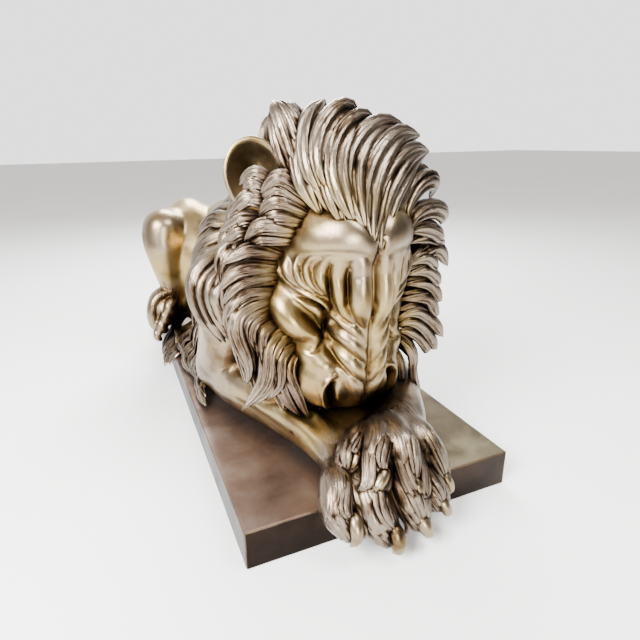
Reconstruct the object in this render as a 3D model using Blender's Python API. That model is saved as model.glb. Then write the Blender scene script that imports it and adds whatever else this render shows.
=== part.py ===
"""Sleeping lion in cast bronze, lying on its own plinth.

Metres, +Z up.  The origin is the middle of the plinth's underside and the lion faces -Y.
The figure is laid out on a grid of squares, the way a sculptor enlarges a small model:
x runs across from the plinth's middle, y runs back from the plinth's front edge, z runs
up from the plinth's top, all in squares.  It is built up like clay: closed lumps for the
masses, a face carved with lines, locks of hair laid over them, and one skin over the lot.
"""
import bmesh
import bpy
import numpy as np
from math import pi, radians
from mathutils import Matrix, Vector
from mathutils.bvhtree import BVHTree

# Driving dimensions, in metres
PLINTH_LENGTH = 1.80
PLINTH_WIDTH = 0.76
PLINTH_HEIGHT = 0.106
PLINTH_ARRIS = 0.004
LION_LENGTH = 1.90
FIT_GAP = 0.0003

# The figure's grid
SQUARES_LONG = 19
SQUARE = LION_LENGTH / SQUARES_LONG
EDGE = PLINTH_WIDTH / 2 / SQUARE

# Voxels to a square in each skin, and the triangles that the finished figure keeps
MASS_CELLS = 7
HEAD_CELLS = 18
SKIN_CELLS = 13
LION_TRIANGLES = 9400
SEED = 7

rng = np.random.default_rng(SEED)


# Curves through a few points
def spline(points, count):
    """Catmull-Rom curve through the rows of points, read at count even steps."""
    p = np.asarray(points, float)
    if p.ndim == 1:
        p = p[:, None]
    p = np.vstack([2 * p[0] - p[1], p, 2 * p[-1] - p[-2]])
    s = np.linspace(0, len(p) - 3 - 1e-9, count)
    i = s.astype(int)
    t = (s - i)[:, None]
    a, b, c, d = p[i], p[i + 1], p[i + 2], p[i + 3]
    return 0.5 * (2 * b + (c - a) * t + (2 * a - 5 * b + 4 * c - d) * t ** 2
                  + (3 * b - a - 3 * c + d) * t ** 3)


def unit(v):
    return v / np.maximum(np.linalg.norm(v, axis=-1, keepdims=True), 1e-9)


def both(side):
    """Multiplier that takes a point on the lion's right to the given side."""
    return np.array([-side, 1, 1])


# Lumps
class Clay:
    """Closed lumps gathered into one mesh."""

    def __init__(self):
        self.points = []
        self.faces = []
        self.count = 0

    def add(self, points, faces):
        self.points.append(points)
        self.faces.extend([[i + self.count for i in face] for face in faces])
        self.count += len(points)

    def ball(self, centre, radii, lean=0.0):
        """Ellipsoid; lean tips it about x, in degrees."""
        bm = bmesh.new()
        bmesh.ops.create_icosphere(bm, subdivisions=3, radius=1)
        bm.transform(Matrix.Translation(centre) @ Matrix.Rotation(radians(lean), 4, "X")
                     @ Matrix.Diagonal((*radii, 1)))
        self.add(np.array([v.co[:] for v in bm.verts]), [[v.index for v in f.verts] for f in bm.faces])
        bm.free()

    def sweep(self, path, across, through, up=(0, 0, 1), sides=20, steps=24, pointed=False):
        """Tube along a path; across and through are its half widths along it."""
        angle = np.arange(sides) * 2 * pi / sides
        outline = np.column_stack([np.cos(angle), np.sin(angle)])
        line = spline(path, steps)
        wide = spline(across, steps)[:, 0]
        deep = spline(through, steps)[:, 0]
        tangent = unit(np.gradient(line, axis=0))
        if not pointed:
            cap = np.array([0.97, 0.87, 0.5])
            shrink = np.sqrt(1 - cap ** 2)
            line = np.vstack([line[0] - tangent[0] * deep[0] * cap[:, None], line,
                              line[-1] + tangent[-1] * deep[-1] * cap[::-1, None]])
            wide = np.concatenate([wide[0] * shrink, wide, wide[-1] * shrink[::-1]])
            deep = np.concatenate([deep[0] * shrink, deep, deep[-1] * shrink[::-1]])
            tangent = np.vstack([[tangent[0]] * 3, tangent, [tangent[-1]] * 3])
        side = unit(np.cross(tangent, up))
        normal = np.cross(side, tangent)
        rings = (line[:, None] + side[:, None] * outline[None, :, :1] * wide[:, None, None]
                 + normal[:, None] * outline[None, :, 1:] * deep[:, None, None])
        rows = len(rings)
        points = np.vstack([rings.reshape(-1, 3), line[:1], line[-1:]])
        faces = [[r * sides + k, r * sides + (k + 1) % sides, (r + 1) * sides + (k + 1) % sides,
                  (r + 1) * sides + k] for r in range(rows - 1) for k in range(sides)]
        last = (rows - 1) * sides
        faces += [[rows * sides, (k + 1) % sides, k] for k in range(sides)]
        faces += [[rows * sides + 1, last + k, last + (k + 1) % sides] for k in range(sides)]
        self.add(points, faces)

    def mesh(self):
        mesh = bpy.data.meshes.new("clay")
        mesh.from_pydata(np.vstack(self.points).tolist(), [], self.faces)
        return mesh


# Skins
def evaluated(mesh, kind, **settings):
    """The mesh after one modifier."""
    holder = bpy.data.objects.new("skin", mesh)
    bpy.context.scene.collection.objects.link(holder)
    modifier = holder.modifiers.new("step", kind)
    for name, value in settings.items():
        setattr(modifier, name, value)
    graph = bpy.context.evaluated_depsgraph_get()
    result = bpy.data.meshes.new_from_object(holder.evaluated_get(graph))
    bpy.data.objects.remove(holder)
    bpy.data.meshes.remove(mesh)
    return result


def skin(clay, cells, passes):
    """One closed skin over all the lumps, softened a little."""
    mesh = evaluated(clay.mesh(), "REMESH", mode="VOXEL", voxel_size=1 / cells)
    return evaluated(mesh, "SMOOTH", iterations=passes, factor=0.5)


def places(mesh, what="co"):
    values = np.empty(len(mesh.vertices) * 3, np.float32)
    if what == "co":
        mesh.vertices.foreach_get("co", values)
    else:
        mesh.vertex_normals.foreach_get("vector", values)
    return values.reshape(-1, 3).astype(float)


def clay_of(*meshes):
    """Finished skins taken back as lumps."""
    clay = Clay()
    for mesh in meshes:
        clay.add(places(mesh), [list(p.vertices) for p in mesh.polygons])
    return clay


def triangles(mesh):
    return sum(len(p.vertices) - 2 for p in mesh.polygons)


# Masses of the body
def body_masses(clay):
    spine = [(0, 4.6, 4.3), (0, 6.6, 4.2), (0, 9.0, 3.5), (0, 11.4, 3.2), (0, 13.4, 3.6), (0, 15.2, 3.1)]
    clay.sweep(spine, [2.3, 2.5, 2.4, 2.2, 2.4, 1.8], [2.6, 2.5, 2.65, 2.6, 2.55, 2.0])
    clay.ball((0, 9.5, 1.6), (2.5, 4.5, 2.0))
    clay.ball((0, 13.6, 1.5), (3.0, 3.4, 1.9))
    for side in (-1, 1):
        m = both(side)
        clay.ball(m * (-2.2, 6.3, 3.9), (1.2, 1.6, 2.3), lean=12)
        clay.sweep([m * (-2.4, 6.3, 4.2), m * (-2.55, 6.2, 2.6), m * (-2.8, 7.0, 1.0)],
                   [0.95, 0.85, 0.75], [1.45, 1.3, 0.8], up=(0, 1, 0))
        clay.ball(m * (-2.2, 14.0, 3.7), (1.5, 2.3, 2.35), lean=-8)
        clay.sweep([m * (-2.4, 14.2, 3.9), m * (-3.1, 13.2, 4.5), m * (-3.45, 12.7, 4.6)],
                   [1.6, 1.35, 0.95], [1.6, 1.3, 0.95])
        clay.ball(m * (-3.45, 12.7, 5.0), (0.85, 0.9, 0.8))
        clay.sweep([m * (-3.55, 12.6, 4.3), m * (-3.45, 12.8, 3.2), m * (-3.2, 13.3, 1.9)],
                   [0.8, 0.62, 0.5], [0.9, 0.75, 0.6], up=(0, 1, 0))
        clay.ball(m * (-3.3, 14.8, 0.8), (0.6, 1.6, 0.8))


def forelegs(clay):
    """The right leg lies below, its paw over the plinth's edge; the left crosses onto it."""
    clay.sweep([(-2.6, 7.2, 0.95), (-2.25, 5.6, 0.9), (-1.6, 3.9, 0.8), (-1.05, 2.2, 0.62), (-0.7, 1.1, 0.5)],
               [0.8, 0.86, 0.76, 0.66, 0.8], [0.9, 0.9, 0.78, 0.6, 0.48])
    clay.sweep([(-0.65, 1.2, 0.4), (-0.4, 0.3, 0.36), (-0.25, -0.15, 0.2)],
               [0.85, 0.98, 0.95], [0.5, 0.48, 0.4])
    clay.sweep([(2.65, 7.1, 0.9), (2.5, 5.4, 0.9), (2.15, 3.6, 0.95), (1.5, 2.0, 1.05), (0.95, 1.1, 1.15)],
               [0.8, 0.84, 0.74, 0.66, 0.72], [0.9, 0.9, 0.85, 0.72, 0.58])
    clay.sweep([(0.95, 1.3, 1.12), (0.5, 0.6, 1.1), (0.3, 0.2, 0.95)], [0.75, 0.92, 0.9], [0.56, 0.5, 0.42])
    clay.ball((0.2, 2.6, 0.5), (1.5, 1.6, 0.9))


def neck_masses(clay):
    clay.ball((0, 5.0, 5.2), (2.5, 2.2, 2.8))
    clay.ball((0, 5.0, 3.0), (2.2, 2.0, 2.5))
    clay.ball((0, 4.1, 1.4), (1.6, 1.7, 1.5))
    clay.ball((-1.5, 3.9, 2.5), (1.1, 1.2, 1.7))
    clay.ball((0, 4.0, 7.1), (1.5, 1.5, 1.3))
    clay.ball((0, 6.8, 5.0), (2.1, 2.4, 1.8))


def head_masses(clay):
    clay.ball((0, 3.4, 5.3), (2.05, 2.2, 2.2))
    clay.ball((0, 2.75, 6.1), (1.75, 1.95, 1.35))
    clay.sweep([(0, 2.3, 5.6), (0, 2.1, 4.4), (0, 2.1, 3.3), (0, 2.25, 2.3)],
               [0.95, 0.8, 0.7, 0.8], [1.3, 1.05, 0.95, 0.95], up=(0, -1, 0))
    clay.ball((0, 2.45, 1.75), (0.9, 0.85, 0.5))
    for side in (-1, 1):
        m = both(side)
        near = side < 0
        clay.ball(m * (-0.78 if near else -0.62, 2.35, 2.4), (0.88 if near else 0.76, 0.95, 0.95))
        clay.ball(m * (-1.3 if near else -1.0, 2.85, 4.3), (0.75 if near else 0.6, 0.9, 1.1))
        clay.ball(m * (-1.0, 2.9, 3.1), (0.7, 1.1, 0.9))


# Places on the masses
class Form:
    """The masses' skin, asked for its nearest place and the way it faces there."""

    def __init__(self, mesh):
        self.tree = BVHTree.FromPolygons([v.co[:] for v in mesh.vertices],
                                         [p.vertices[:] for p in mesh.polygons])

    def near(self, point):
        place, normal, _, _ = self.tree.find_nearest(Vector(point))
        return np.array(place), np.array(normal)


# Carving with lines
def gaps(points, line):
    """Distance of each point to a polyline, and how far along the line it falls, 0 to 1."""
    best = np.full(len(points), np.inf)
    along = np.zeros(len(points))
    for k in range(len(line) - 1):
        a, b = line[k], line[k + 1]
        t = np.clip((points - a) @ (b - a) / max(1e-12, (b - a) @ (b - a)), 0, 1)
        d = np.linalg.norm(points - a - t[:, None] * (b - a), axis=1)
        closer = d < best
        best[closer] = d[closer]
        along[closer] = (k + t[closer]) / (len(line) - 1)
    return best, along


def reading(values, along):
    values = spline(values, 33)[:, 0]
    return np.interp(along, np.linspace(0, 1, 33), values)


def soft_normals(mesh, passes=12):
    """Vertex normals averaged with their neighbours', so that a valley's walls don't cross."""
    normals = places(mesh, "normal")
    ends = np.empty(len(mesh.edges) * 2, np.int32)
    mesh.edges.foreach_get("vertices", ends)
    a, b = ends[::2], ends[1::2]
    for _ in range(passes):
        around = [np.bincount(a, normals[b, k], len(normals)) + np.bincount(b, normals[a, k], len(normals))
                  for k in range(3)]
        normals = unit(normals + np.column_stack(around))
    return normals


def carve(mesh, swells, creases, allowed, edge=1.0):
    """Raise swellings and press creases into a skin where allowed; a high edge fades out softly."""
    points = places(mesh)
    normals = soft_normals(mesh)
    rise = np.zeros(len(points))
    sink = np.zeros(len(points))
    for path, widths, heights in swells:
        line = spline(path, 24)
        near, gap, half, high = reached(points, allowed, line, widths, heights, 1)
        value = high * np.maximum(0, 1 - (gap / half) ** 2) ** edge
        rise[near] = np.maximum(rise[near], value)
    for path, widths, depths in creases:
        line = spline(path, 24)
        near, gap, half, deep = reached(points, allowed, line, widths, depths, 2.2)
        sink[near] = np.maximum(sink[near], deep * np.exp(-(gap / half) ** 2))
    points += normals * (rise - sink)[:, None]
    mesh.vertices.foreach_set("co", points.astype(np.float32).ravel())
    mesh.update()


def reached(points, allowed, line, widths, heights, spread):
    """The points near a drawn line, their distance to it, and its width and height there."""
    reach = np.max(widths) * spread
    flat = points[:, [0, 2]]
    inside = allowed & np.all((flat > line.min(0) - reach) & (flat < line.max(0) + reach), axis=1)
    near = np.flatnonzero(inside)
    gap, along = gaps(flat[near], line)
    return near, gap, np.maximum(reading(widths, along), 1e-3), reading(heights, along)


# The face, drawn at places (x, z) as seen from the front: a line, its half widths, its heights
LID_FLUTES = [
    ([(-1.8, 5.6), (-1.85, 5.38), (-1.78, 5.12), (-1.6, 4.95)],
     [0.04, 0.1, 0.1, 0.05], [0, 0.09, 0.1, 0.04]),
    ([(-1.6, 5.9), (-1.68, 5.5), (-1.6, 5.2), (-1.38, 4.92)],
     [0.04, 0.13, 0.13, 0.07], [0, 0.14, 0.17, 0.07]),
    ([(-1.36, 6.0), (-1.45, 5.6), (-1.38, 5.22), (-1.18, 4.9)],
     [0.04, 0.15, 0.16, 0.08], [0, 0.17, 0.22, 0.1]),
    ([(-1.07, 6.03), (-1.16, 5.6), (-1.12, 5.25), (-0.98, 4.88)],
     [0.04, 0.16, 0.17, 0.1], [0, 0.17, 0.24, 0.1]),
]
BROW_PETALS = [
    ([(-0.74, 6.05), (-0.86, 5.6), (-0.83, 5.25), (-0.77, 4.95), (-0.67, 4.55), (-0.5, 4.2)],
     [0.05, 0.21, 0.24, 0.24, 0.2, 0.06], [0, 0.2, 0.32, 0.36, 0.27, 0.04]),
    ([(-0.26, 5.95), (-0.36, 5.5), (-0.37, 5.15), (-0.35, 4.85), (-0.29, 4.4), (-0.16, 3.85)],
     [0.08, 0.28, 0.34, 0.34, 0.28, 0.08], [0, 0.16, 0.3, 0.34, 0.26, 0.03]),
]
EYE_FOLDS = [
    ([(-1.76, 4.98), (-1.45, 4.84), (-1.2, 4.78), (-1.02, 4.6), (-0.93, 4.3), (-0.9, 4.0)],
     [0.06, 0.12, 0.13, 0.12, 0.08, 0.05], [0.04, 0.13, 0.16, 0.14, 0.08, 0.03]),
    ([(-1.82, 4.78), (-1.52, 4.56), (-1.26, 4.44), (-1.06, 4.24), (-0.97, 3.98), (-0.92, 3.75)],
     [0.08, 0.16, 0.18, 0.16, 0.1, 0.06], [0.04, 0.13, 0.17, 0.15, 0.08, 0.03]),
]
CHEEKBONE = [
    ([(-2.15, 5.3), (-2.0, 4.75), (-1.75, 4.25), (-1.45, 3.88), (-1.15, 3.6)],
     [0.3, 0.42, 0.45, 0.42, 0.36], [0.06, 0.16, 0.22, 0.25, 0.24]),
    ([(-1.25, 3.15), (-1.05, 3.0)], [0.4, 0.36], [0.14, 0.14]),
]
NOSE_CHEVRONS = [
    ([(-0.82, 4.3), (-0.62, 4.12), (-0.4, 3.9), (-0.14, 3.5)],
     [0.06, 0.11, 0.13, 0.07], [0.04, 0.12, 0.13, 0.02]),
    ([(-0.78, 3.96), (-0.58, 3.76), (-0.35, 3.46), (-0.08, 3.0)],
     [0.1, 0.18, 0.19, 0.09], [0.05, 0.19, 0.19, 0.03]),
    ([(-0.77, 3.4), (-0.52, 3.14), (-0.29, 2.8), (-0.05, 2.4)],
     [0.13, 0.21, 0.21, 0.1], [0.06, 0.2, 0.2, 0.04]),
    ([(-0.7, 2.86), (-0.5, 2.62), (-0.3, 2.32), (-0.1, 1.9)],
     [0.13, 0.2, 0.21, 0.12], [0.06, 0.17, 0.18, 0.04]),
]
NOSE_RIM = [
    ([(-0.72, 2.74), (-0.98, 2.62), (-1.13, 2.28), (-1.07, 1.92), (-0.86, 1.58), (-0.5, 1.32), (0.0, 1.22)],
     [0.06, 0.1, 0.1, 0.09, 0.08, 0.08, 0.08], [0.04, 0.1, 0.12, 0.1, 0.08, 0.07, 0.06]),
]
FOREHEAD_RIDGES = [
    ([(-0.14, 6.05), (-0.24, 6.6), (-0.3, 7.2)], [0.15, 0.2, 0.24], [0.02, 0.1, 0.12]),
]
FACE_CREASES = [
    ([(-0.07, 5.5), (-0.35, 5.8), (-0.69, 5.98), (-1.1, 6.02), (-1.44, 5.92), (-1.75, 5.75)],
     [0.12, 0.17, 0.18, 0.18, 0.17, 0.12], [0.02, 0.05, 0.06, 0.06, 0.05, 0.02]),
    # the closed eye, the side of the nose, the crease under the boss, the nostril
    ([(-1.68, 4.84), (-1.4, 4.7), (-1.15, 4.62), (-0.99, 4.42), (-0.92, 4.18), (-0.89, 3.85)],
     [0.04, 0.05, 0.05, 0.05, 0.045, 0.04], [0.04, 0.12, 0.15, 0.14, 0.1, 0.05]),
    ([(-0.88, 3.95), (-0.9, 3.65), (-0.85, 3.35), (-0.8, 3.05)], [0.07, 0.08, 0.08, 0.06],
     [0.03, 0.07, 0.07, 0.02]),
    ([(-1.6, 3.3), (-1.35, 3.3), (-1.15, 3.4), (-0.94, 3.6)], [0.06, 0.06, 0.06, 0.04],
     [0.01, 0.06, 0.08, 0.05]),
    ([(-0.88, 2.5), (-0.97, 2.28), (-0.92, 1.98), (-0.75, 1.68), (-0.5, 1.46)],
     [0.1, 0.12, 0.11, 0.08, 0.05], [0.2, 0.38, 0.36, 0.22, 0.08]),
]
MIDDLE_LINE = ([(0, 6.3), (0, 5.6), (0, 4.2), (0, 3.0), (0, 1.75)], [0.06, 0.07, 0.06, 0.05, 0.05],
               [0.02, 0.06, 0.06, 0.06, 0.05])
EYE_HOLLOWS = [
    ([(-1.6, 4.85), (-1.25, 4.65), (-1.0, 4.4)], [0.35, 0.35, 0.25], [0.05, 0.09, 0.05]),
]
FACE_BACK = 3.6
FAR_HALF = 0.9


def both_halves(lines, far_height=1.0):
    """The lines, and their mirror image drawn narrower, as the head is turned a little."""
    far = [([(-x * FAR_HALF, z) for x, z in path], widths, np.array(heights) * far_height)
           for path, widths, heights in lines]
    return lines + far


def front_of(mesh):
    return (places(mesh, "normal")[:, 1] < 0.25) & (places(mesh)[:, 1] < FACE_BACK)


def carved_head():
    """The head by itself, on a finer skin, with its face carved in."""
    clay = Clay()
    head_masses(clay)
    mesh = skin(clay, HEAD_CELLS, 24)
    carve(mesh, both_halves(CHEEKBONE, 0.3), both_halves(EYE_HOLLOWS), front_of(mesh), edge=1.4)
    mesh = evaluated(mesh, "SUBSURF", levels=1, render_levels=1)
    swells = LID_FLUTES + BROW_PETALS + EYE_FOLDS + NOSE_CHEVRONS + NOSE_RIM + FOREHEAD_RIDGES
    carve(mesh, both_halves(swells, 0.8), both_halves(FACE_CREASES) + [MIDDLE_LINE], front_of(mesh))
    return evaluated(mesh, "SMOOTH", iterations=1, factor=0.4)


# Ears
EAR_OUTLINE = [(0.95, -0.75), (0.72, 0.02), (0.45, 0.6), (-0.02, 0.84), (-0.5, 0.68), (-0.76, 0.15),
               (-0.68, -0.45), (-0.3, -0.95), (0.4, -1.1)]
EAR_RINGS = 4
EAR_SIDES = 18
EAR_WALL = 0.17
EAR_BOWL = 0.75
EAR_PLACE = (2.12, 3.2, 7.62)
EAR_TURN = 20
EAR_TIP = 7


def ear(clay, side):
    """A thick open cup: rings inside a drawn outline, given a wall, its foot lost in the mane."""
    outline = spline(EAR_OUTLINE + EAR_OUTLINE[:1], EAR_SIDES + 1)[:-1]
    points = [(0, EAR_BOWL, 0)]
    for r in range(1, EAR_RINGS + 1):
        share = r / EAR_RINGS
        points += [(a * share, EAR_BOWL * (1 - share ** 2), b * share) for a, b in outline]
    faces = [(0, 1 + k, 1 + (k + 1) % EAR_SIDES) for k in range(EAR_SIDES)]
    for r in range(EAR_RINGS - 1):
        first = 1 + r * EAR_SIDES
        faces += [(first + k, first + EAR_SIDES + k, first + EAR_SIDES + (k + 1) % EAR_SIDES,
                   first + (k + 1) % EAR_SIDES) for k in range(EAR_SIDES)]
    mesh = bpy.data.meshes.new("ear")
    mesh.from_pydata([(-side * a, depth, b) for a, depth, b in points], [], faces)
    mesh = evaluated(mesh, "SOLIDIFY", thickness=EAR_WALL, offset=0)
    x, y, z = EAR_PLACE
    mesh.transform(Matrix.Translation((side * x, y, z)) @ Matrix.Rotation(side * radians(EAR_TURN), 4, "Z")
                   @ Matrix.Rotation(-radians(EAR_TIP), 4, "X"))
    clay.add(places(mesh), [list(p.vertices) for p in mesh.polygons])


# Paws
TOES = [
    # the right paw, from its outer toe inward: the toe's line, its radius, the claw's line and half width
    ([(-1.0, 0.9, 0.45), (-1.45, 0.1, 0.48), (-1.62, -0.35, 0.15), (-1.5, -0.55, -0.15)], 0.42,
     [(-1.4, -0.8, 0.15), (-1.44, -0.98, -0.15), (-1.52, -0.85, -0.5)], 0.17),
    ([(-0.6, 0.7, 0.5), (-0.8, -0.2, 0.45), (-0.8, -0.68, 0.0), (-0.68, -0.8, -0.35)], 0.45,
     [(-0.5, -1.08, -0.25), (-0.47, -1.25, -0.6), (-0.52, -1.08, -0.88)], 0.2),
    ([(0.1, 0.7, 0.5), (0.1, -0.2, 0.42), (0.18, -0.65, 0.0), (0.24, -0.76, -0.3)], 0.42,
     [(0.26, -1.04, -0.25), (0.38, -1.16, -0.52), (0.5, -1.02, -0.82)], 0.18),
    ([(0.6, 0.8, 0.5), (0.75, -0.1, 0.38), (0.9, -0.5, 0.05), (0.98, -0.58, -0.18)], 0.37,
     [(1.0, -0.82, -0.12), (1.1, -0.92, -0.36), (1.2, -0.78, -0.62)], 0.15),
    # the left paw, which lies on it
    ([(-0.2, 1.0, 1.15), (-0.6, 0.7, 1.2), (-0.92, 0.45, 1.02), (-1.05, 0.34, 0.84)], 0.34,
     [(-0.82, 0.2, 1.16), (-0.98, 0.08, 0.96), (-1.16, 0.12, 0.74)], 0.13),
    ([(0.1, 0.9, 1.3), (-0.25, 0.25, 1.32), (-0.52, -0.1, 1.0), (-0.7, -0.2, 0.76)], 0.37,
     [(-0.46, -0.44, 0.92), (-0.72, -0.58, 0.72), (-0.98, -0.46, 0.52)], 0.17),
    ([(0.45, 0.8, 1.36), (0.3, 0.05, 1.32), (0.3, -0.3, 0.9), (0.32, -0.4, 0.6)], 0.37,
     [(0.28, -0.66, 0.6), (0.34, -0.78, 0.32), (0.42, -0.64, 0.02)], 0.16),
    ([(0.95, 0.85, 1.28), (1.0, 0.25, 1.12), (1.18, -0.08, 0.65), (1.28, -0.18, 0.3)], 0.37,
     [(1.36, -0.42, 0.2), (1.46, -0.5, -0.08), (1.56, -0.36, -0.4)], 0.15),
]


HIND_TOES = 4


def paws(clay):
    for line, radius, claw, half in TOES:
        plump = np.array([0.9, 1.05, 1.05, 0.85]) * radius
        clay.sweep(line, plump, plump, up=(0, -0.4, 1))
        root = 1.5 * np.array(claw[0]) - 0.5 * np.array(claw[1])
        taper = [0.05, half, half * 0.95, 0.05]
        clay.sweep([root] + claw, taper, taper, up=(1, 0, 0), sides=14, steps=12, pointed=True)


def hind_feet(clay):
    """Feet drawn up beside the rump, the toes curled under an arched instep."""
    for side in (-1, 1):
        m = both(side)
        clay.sweep([m * (-3.4, 14.6, 0.6), m * (-3.55, 13.7, 1.1), m * (-3.8, 13.0, 1.5)],
                   [0.45, 0.6, 0.55], [0.5, 0.7, 0.75])
        clay.sweep([m * (-3.1, 13.0, 2.0), m * (-3.65, 12.8, 2.25), m * (-4.12, 12.7, 2.1),
                    m * (-4.38, 12.6, 1.55), m * (-4.32, 12.6, 0.9), m * (-4.0, 12.7, 0.6)],
                   [0.2, 0.24, 0.22, 0.2, 0.22, 0.2], [0.35, 0.4, 0.38, 0.35, 0.3, 0.25], up=(0, 1, 0))
        for k in range(HIND_TOES):
            x = -3.45 - 0.2 * k
            z = 1.9 - 0.38 * k
            clay.sweep([m * (x + 0.25, 13.0, z), m * (x - 0.1, 12.4, z), m * (x - 0.25, 12.2, z - 0.25),
                        m * (x - 0.15, 12.3, z - 0.45)], [0.18, 0.2, 0.18, 0.12], [0.18, 0.2, 0.18, 0.12],
                       up=(0, 1, 1))


def tail(clay):
    """From the rump forward along the plinth."""
    clay.sweep([(-0.6, 16.4, 2.4), (-2.2, 16.9, 0.9), (-3.2, 16.2, 0.35), (-3.4, 14.4, 0.3),
                (-3.3, 12.6, 0.28), (-3.35, 11.6, 0.28)],
               [0.45, 0.36, 0.3, 0.28, 0.28, 0.3], [0.45, 0.36, 0.3, 0.28, 0.26, 0.28])


# Locks of hair
STRAND_SIDES = 4
LOCK_THICKNESS = 0.7


def lock_section(strands, furrow):
    """Arched above, the arch parted into strands by furrows, and flat below: across, rise."""
    angle = pi * np.arange(strands * STRAND_SIDES + 1) / (strands * STRAND_SIDES)
    strand = np.sqrt(np.abs(np.sin(strands * angle)))
    arch = np.sin(angle) * (1 - furrow * (1 - strand))
    lower = np.array([-0.5, 0, 0.5])
    return np.vstack([np.column_stack([np.cos(angle), arch]), np.column_stack([lower, np.full(3, -0.3)])])


LEAF = [0.45, 0.8, 1.0, 1.05, 1.0, 0.85, 0.55, 0.08]
WAVE = [0.45, 0.7, 0.9, 1.0, 1.08, 1.1, 0.85, 0.1]
LOCK_STEPS = 15


class Hair:
    """Locks added to the clay, all with one section."""

    def __init__(self, clay, form, strands=2, furrow=0.4):
        self.clay = clay
        self.form = form
        self.section = lock_section(strands, furrow)

    def lock(self, line, half, face=None, hug=1.0, leaf=LEAF, roll=0.0, fade=0.3):
        """A leaf along a line, its root sunk in the form; hug, up to 1, holds the rest to it too."""
        steps = len(line)
        share = np.linspace(0, 1, steps)
        hold = np.maximum(hug, np.clip(1 - share / fade, 0, 1) ** 0.7)
        facing = np.empty_like(line)
        for k in range(steps):
            place, normal = self.form.near(line[k])
            held = place + normal * (0.25 * half * share[k] + 0.25 * hug * np.sin(pi * share[k] * 0.8))
            held -= normal * half * 0.5 * (1 - share[k]) ** (1 / fade)
            line[k] = hold[k] * held + (1 - hold[k]) * line[k]
            given = normal if face is None else np.array(face, float)
            facing[k] = unit(hold[k] * normal + (1 - 0.7 * hold[k]) * given)
        sideways = unit(np.cross(np.gradient(line, axis=0), facing))
        facing = unit(facing + sideways * roll * (1 - hold[:, None]))
        for _ in range(3):
            line[1:-1] = (line[:-2] + 2 * line[1:-1] + line[2:]) / 4
            facing[1:-1] = unit(facing[:-2] + facing[1:-1] + facing[2:])
        self.sweep(line, np.maximum(spline(leaf, steps)[:, 0], 0.03) * half, facing)

    def sweep(self, line, halves, facing):
        tangent = unit(np.gradient(line, axis=0))
        side = unit(np.cross(tangent, facing))
        facing = np.cross(side, tangent)
        m = len(self.section)
        rings = (line[:, None] + side[:, None] * self.section[None, :, :1] * halves[:, None, None]
                 + facing[:, None] * self.section[None, :, 1:] * halves[:, None, None] * LOCK_THICKNESS)
        faces = [[r * m + k, r * m + (k + 1) % m, (r + 1) * m + (k + 1) % m, (r + 1) * m + k]
                 for r in range(len(line) - 1) for k in range(m)]
        last = (len(line) - 1) * m
        faces += [list(range(m))[::-1], list(range(last, last + m))]
        self.clay.add(rings.reshape(-1, 3), faces)

    def row(self, roots, tips, count, half, bow=0.15, sway=0.0, hook=0.0, stray=0.08, gather=0.4, **style):
        """Locks side by side, whose tips gather in clumps of two or three.

        Each bends to one side by bow, to both sides in turn by sway, and back at its tip by
        hook, as shares of its own length.
        """
        starts = spline(roots, count)
        ends = spline(tips, count)
        u = np.linspace(0, 1, LOCK_STEPS)[:, None]
        first = 0
        while first < count:
            clump = range(first, min(count, first + int(rng.integers(2, 4))))
            first = clump.stop
            centre = ends[clump.start:clump.stop].mean(axis=0) + rng.normal(0, stray, 3)
            swing = 1 + rng.uniform(-0.35, 0.35)
            for k in clump:
                root = starts[k] + rng.normal(0, stray * 0.3, 3)
                tip = ends[k] + gather * (centre - ends[k]) + rng.normal(0, stray * 0.5, 3)
                chord = (tip - root) * (1 + rng.uniform(-0.06, 0.12))
                facing = (self.form.near((root + tip) / 2)[1] if style.get("face") is None
                          else np.array(style["face"]))
                side = unit(np.cross(chord, facing)) * np.linalg.norm(chord) * swing
                bend = bow * np.sin(pi * u) + sway * np.sin(2 * pi * u) - hook * u ** 4
                self.lock(root + chord * u + side * bend, half * (1 + rng.uniform(-0.2, 0.2)), **style)


def on_side(side, points):
    """Points of the lion's right, or their mirror image on its left."""
    return points if side < 0 else [(-x, y, z) for x, y, z in points]


def crest(clay, form):
    """Long locks that stand up from the brow and hook over to the lion's left, in four ranks."""
    hair = Hair(clay, form, strands=3)
    forward = (-0.35, -0.9, 0.25)
    hair.row([(-1.4, 1.9, 6.75), (-1.0, 1.3, 6.5), (-0.5, 1.1, 6.35), (-0.1, 1.0, 6.2), (0.12, 0.95, 5.95)],
             [(-1.5, 2.9, 8.8), (-0.7, 2.9, 8.95), (0.5, 2.6, 8.9), (1.4, 2.4, 8.45), (1.95, 2.4, 7.75)],
             6, 0.5, bow=-0.14, hook=-0.14, face=forward, hug=0, stray=0.04, gather=0.1, roll=0.5, fade=0.45)
    hair.row([(-0.9, 1.9, 7.5), (-0.3, 1.8, 7.6), (0.3, 1.7, 7.3), (0.7, 1.7, 6.9), (0.8, 1.6, 6.3)],
             [(-1.0, 3.1, 9.05), (0.1, 3.0, 9.15), (1.1, 2.8, 8.85), (1.95, 2.8, 8.2), (2.3, 2.8, 7.4)],
             6, 0.52, bow=-0.16, hook=-0.12, face=forward, hug=0, stray=0.05, gather=0.2, roll=0.45)
    hair.row([(-1.1, 3.2, 8.0), (0, 3.1, 8.2), (1.2, 3.2, 7.8)],
             [(-1.1, 3.9, 9.0), (0.3, 3.9, 9.15), (1.9, 3.7, 8.5)],
             5, 0.54, bow=-0.1, hook=-0.1, face=forward, hug=0, stray=0.05, gather=0.2, roll=0.3)
    hair.row([(-1.2, 3.8, 7.9), (0, 3.8, 8.1), (1.3, 3.8, 7.7)],
             [(-0.9, 4.6, 8.9), (0.4, 4.6, 9.0), (1.9, 4.4, 8.4)],
             4, 0.6, bow=0.1, hook=0.1, face=(0, 0.9, 0.4), hug=0, stray=0.05, gather=0.2, roll=-0.4)


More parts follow.
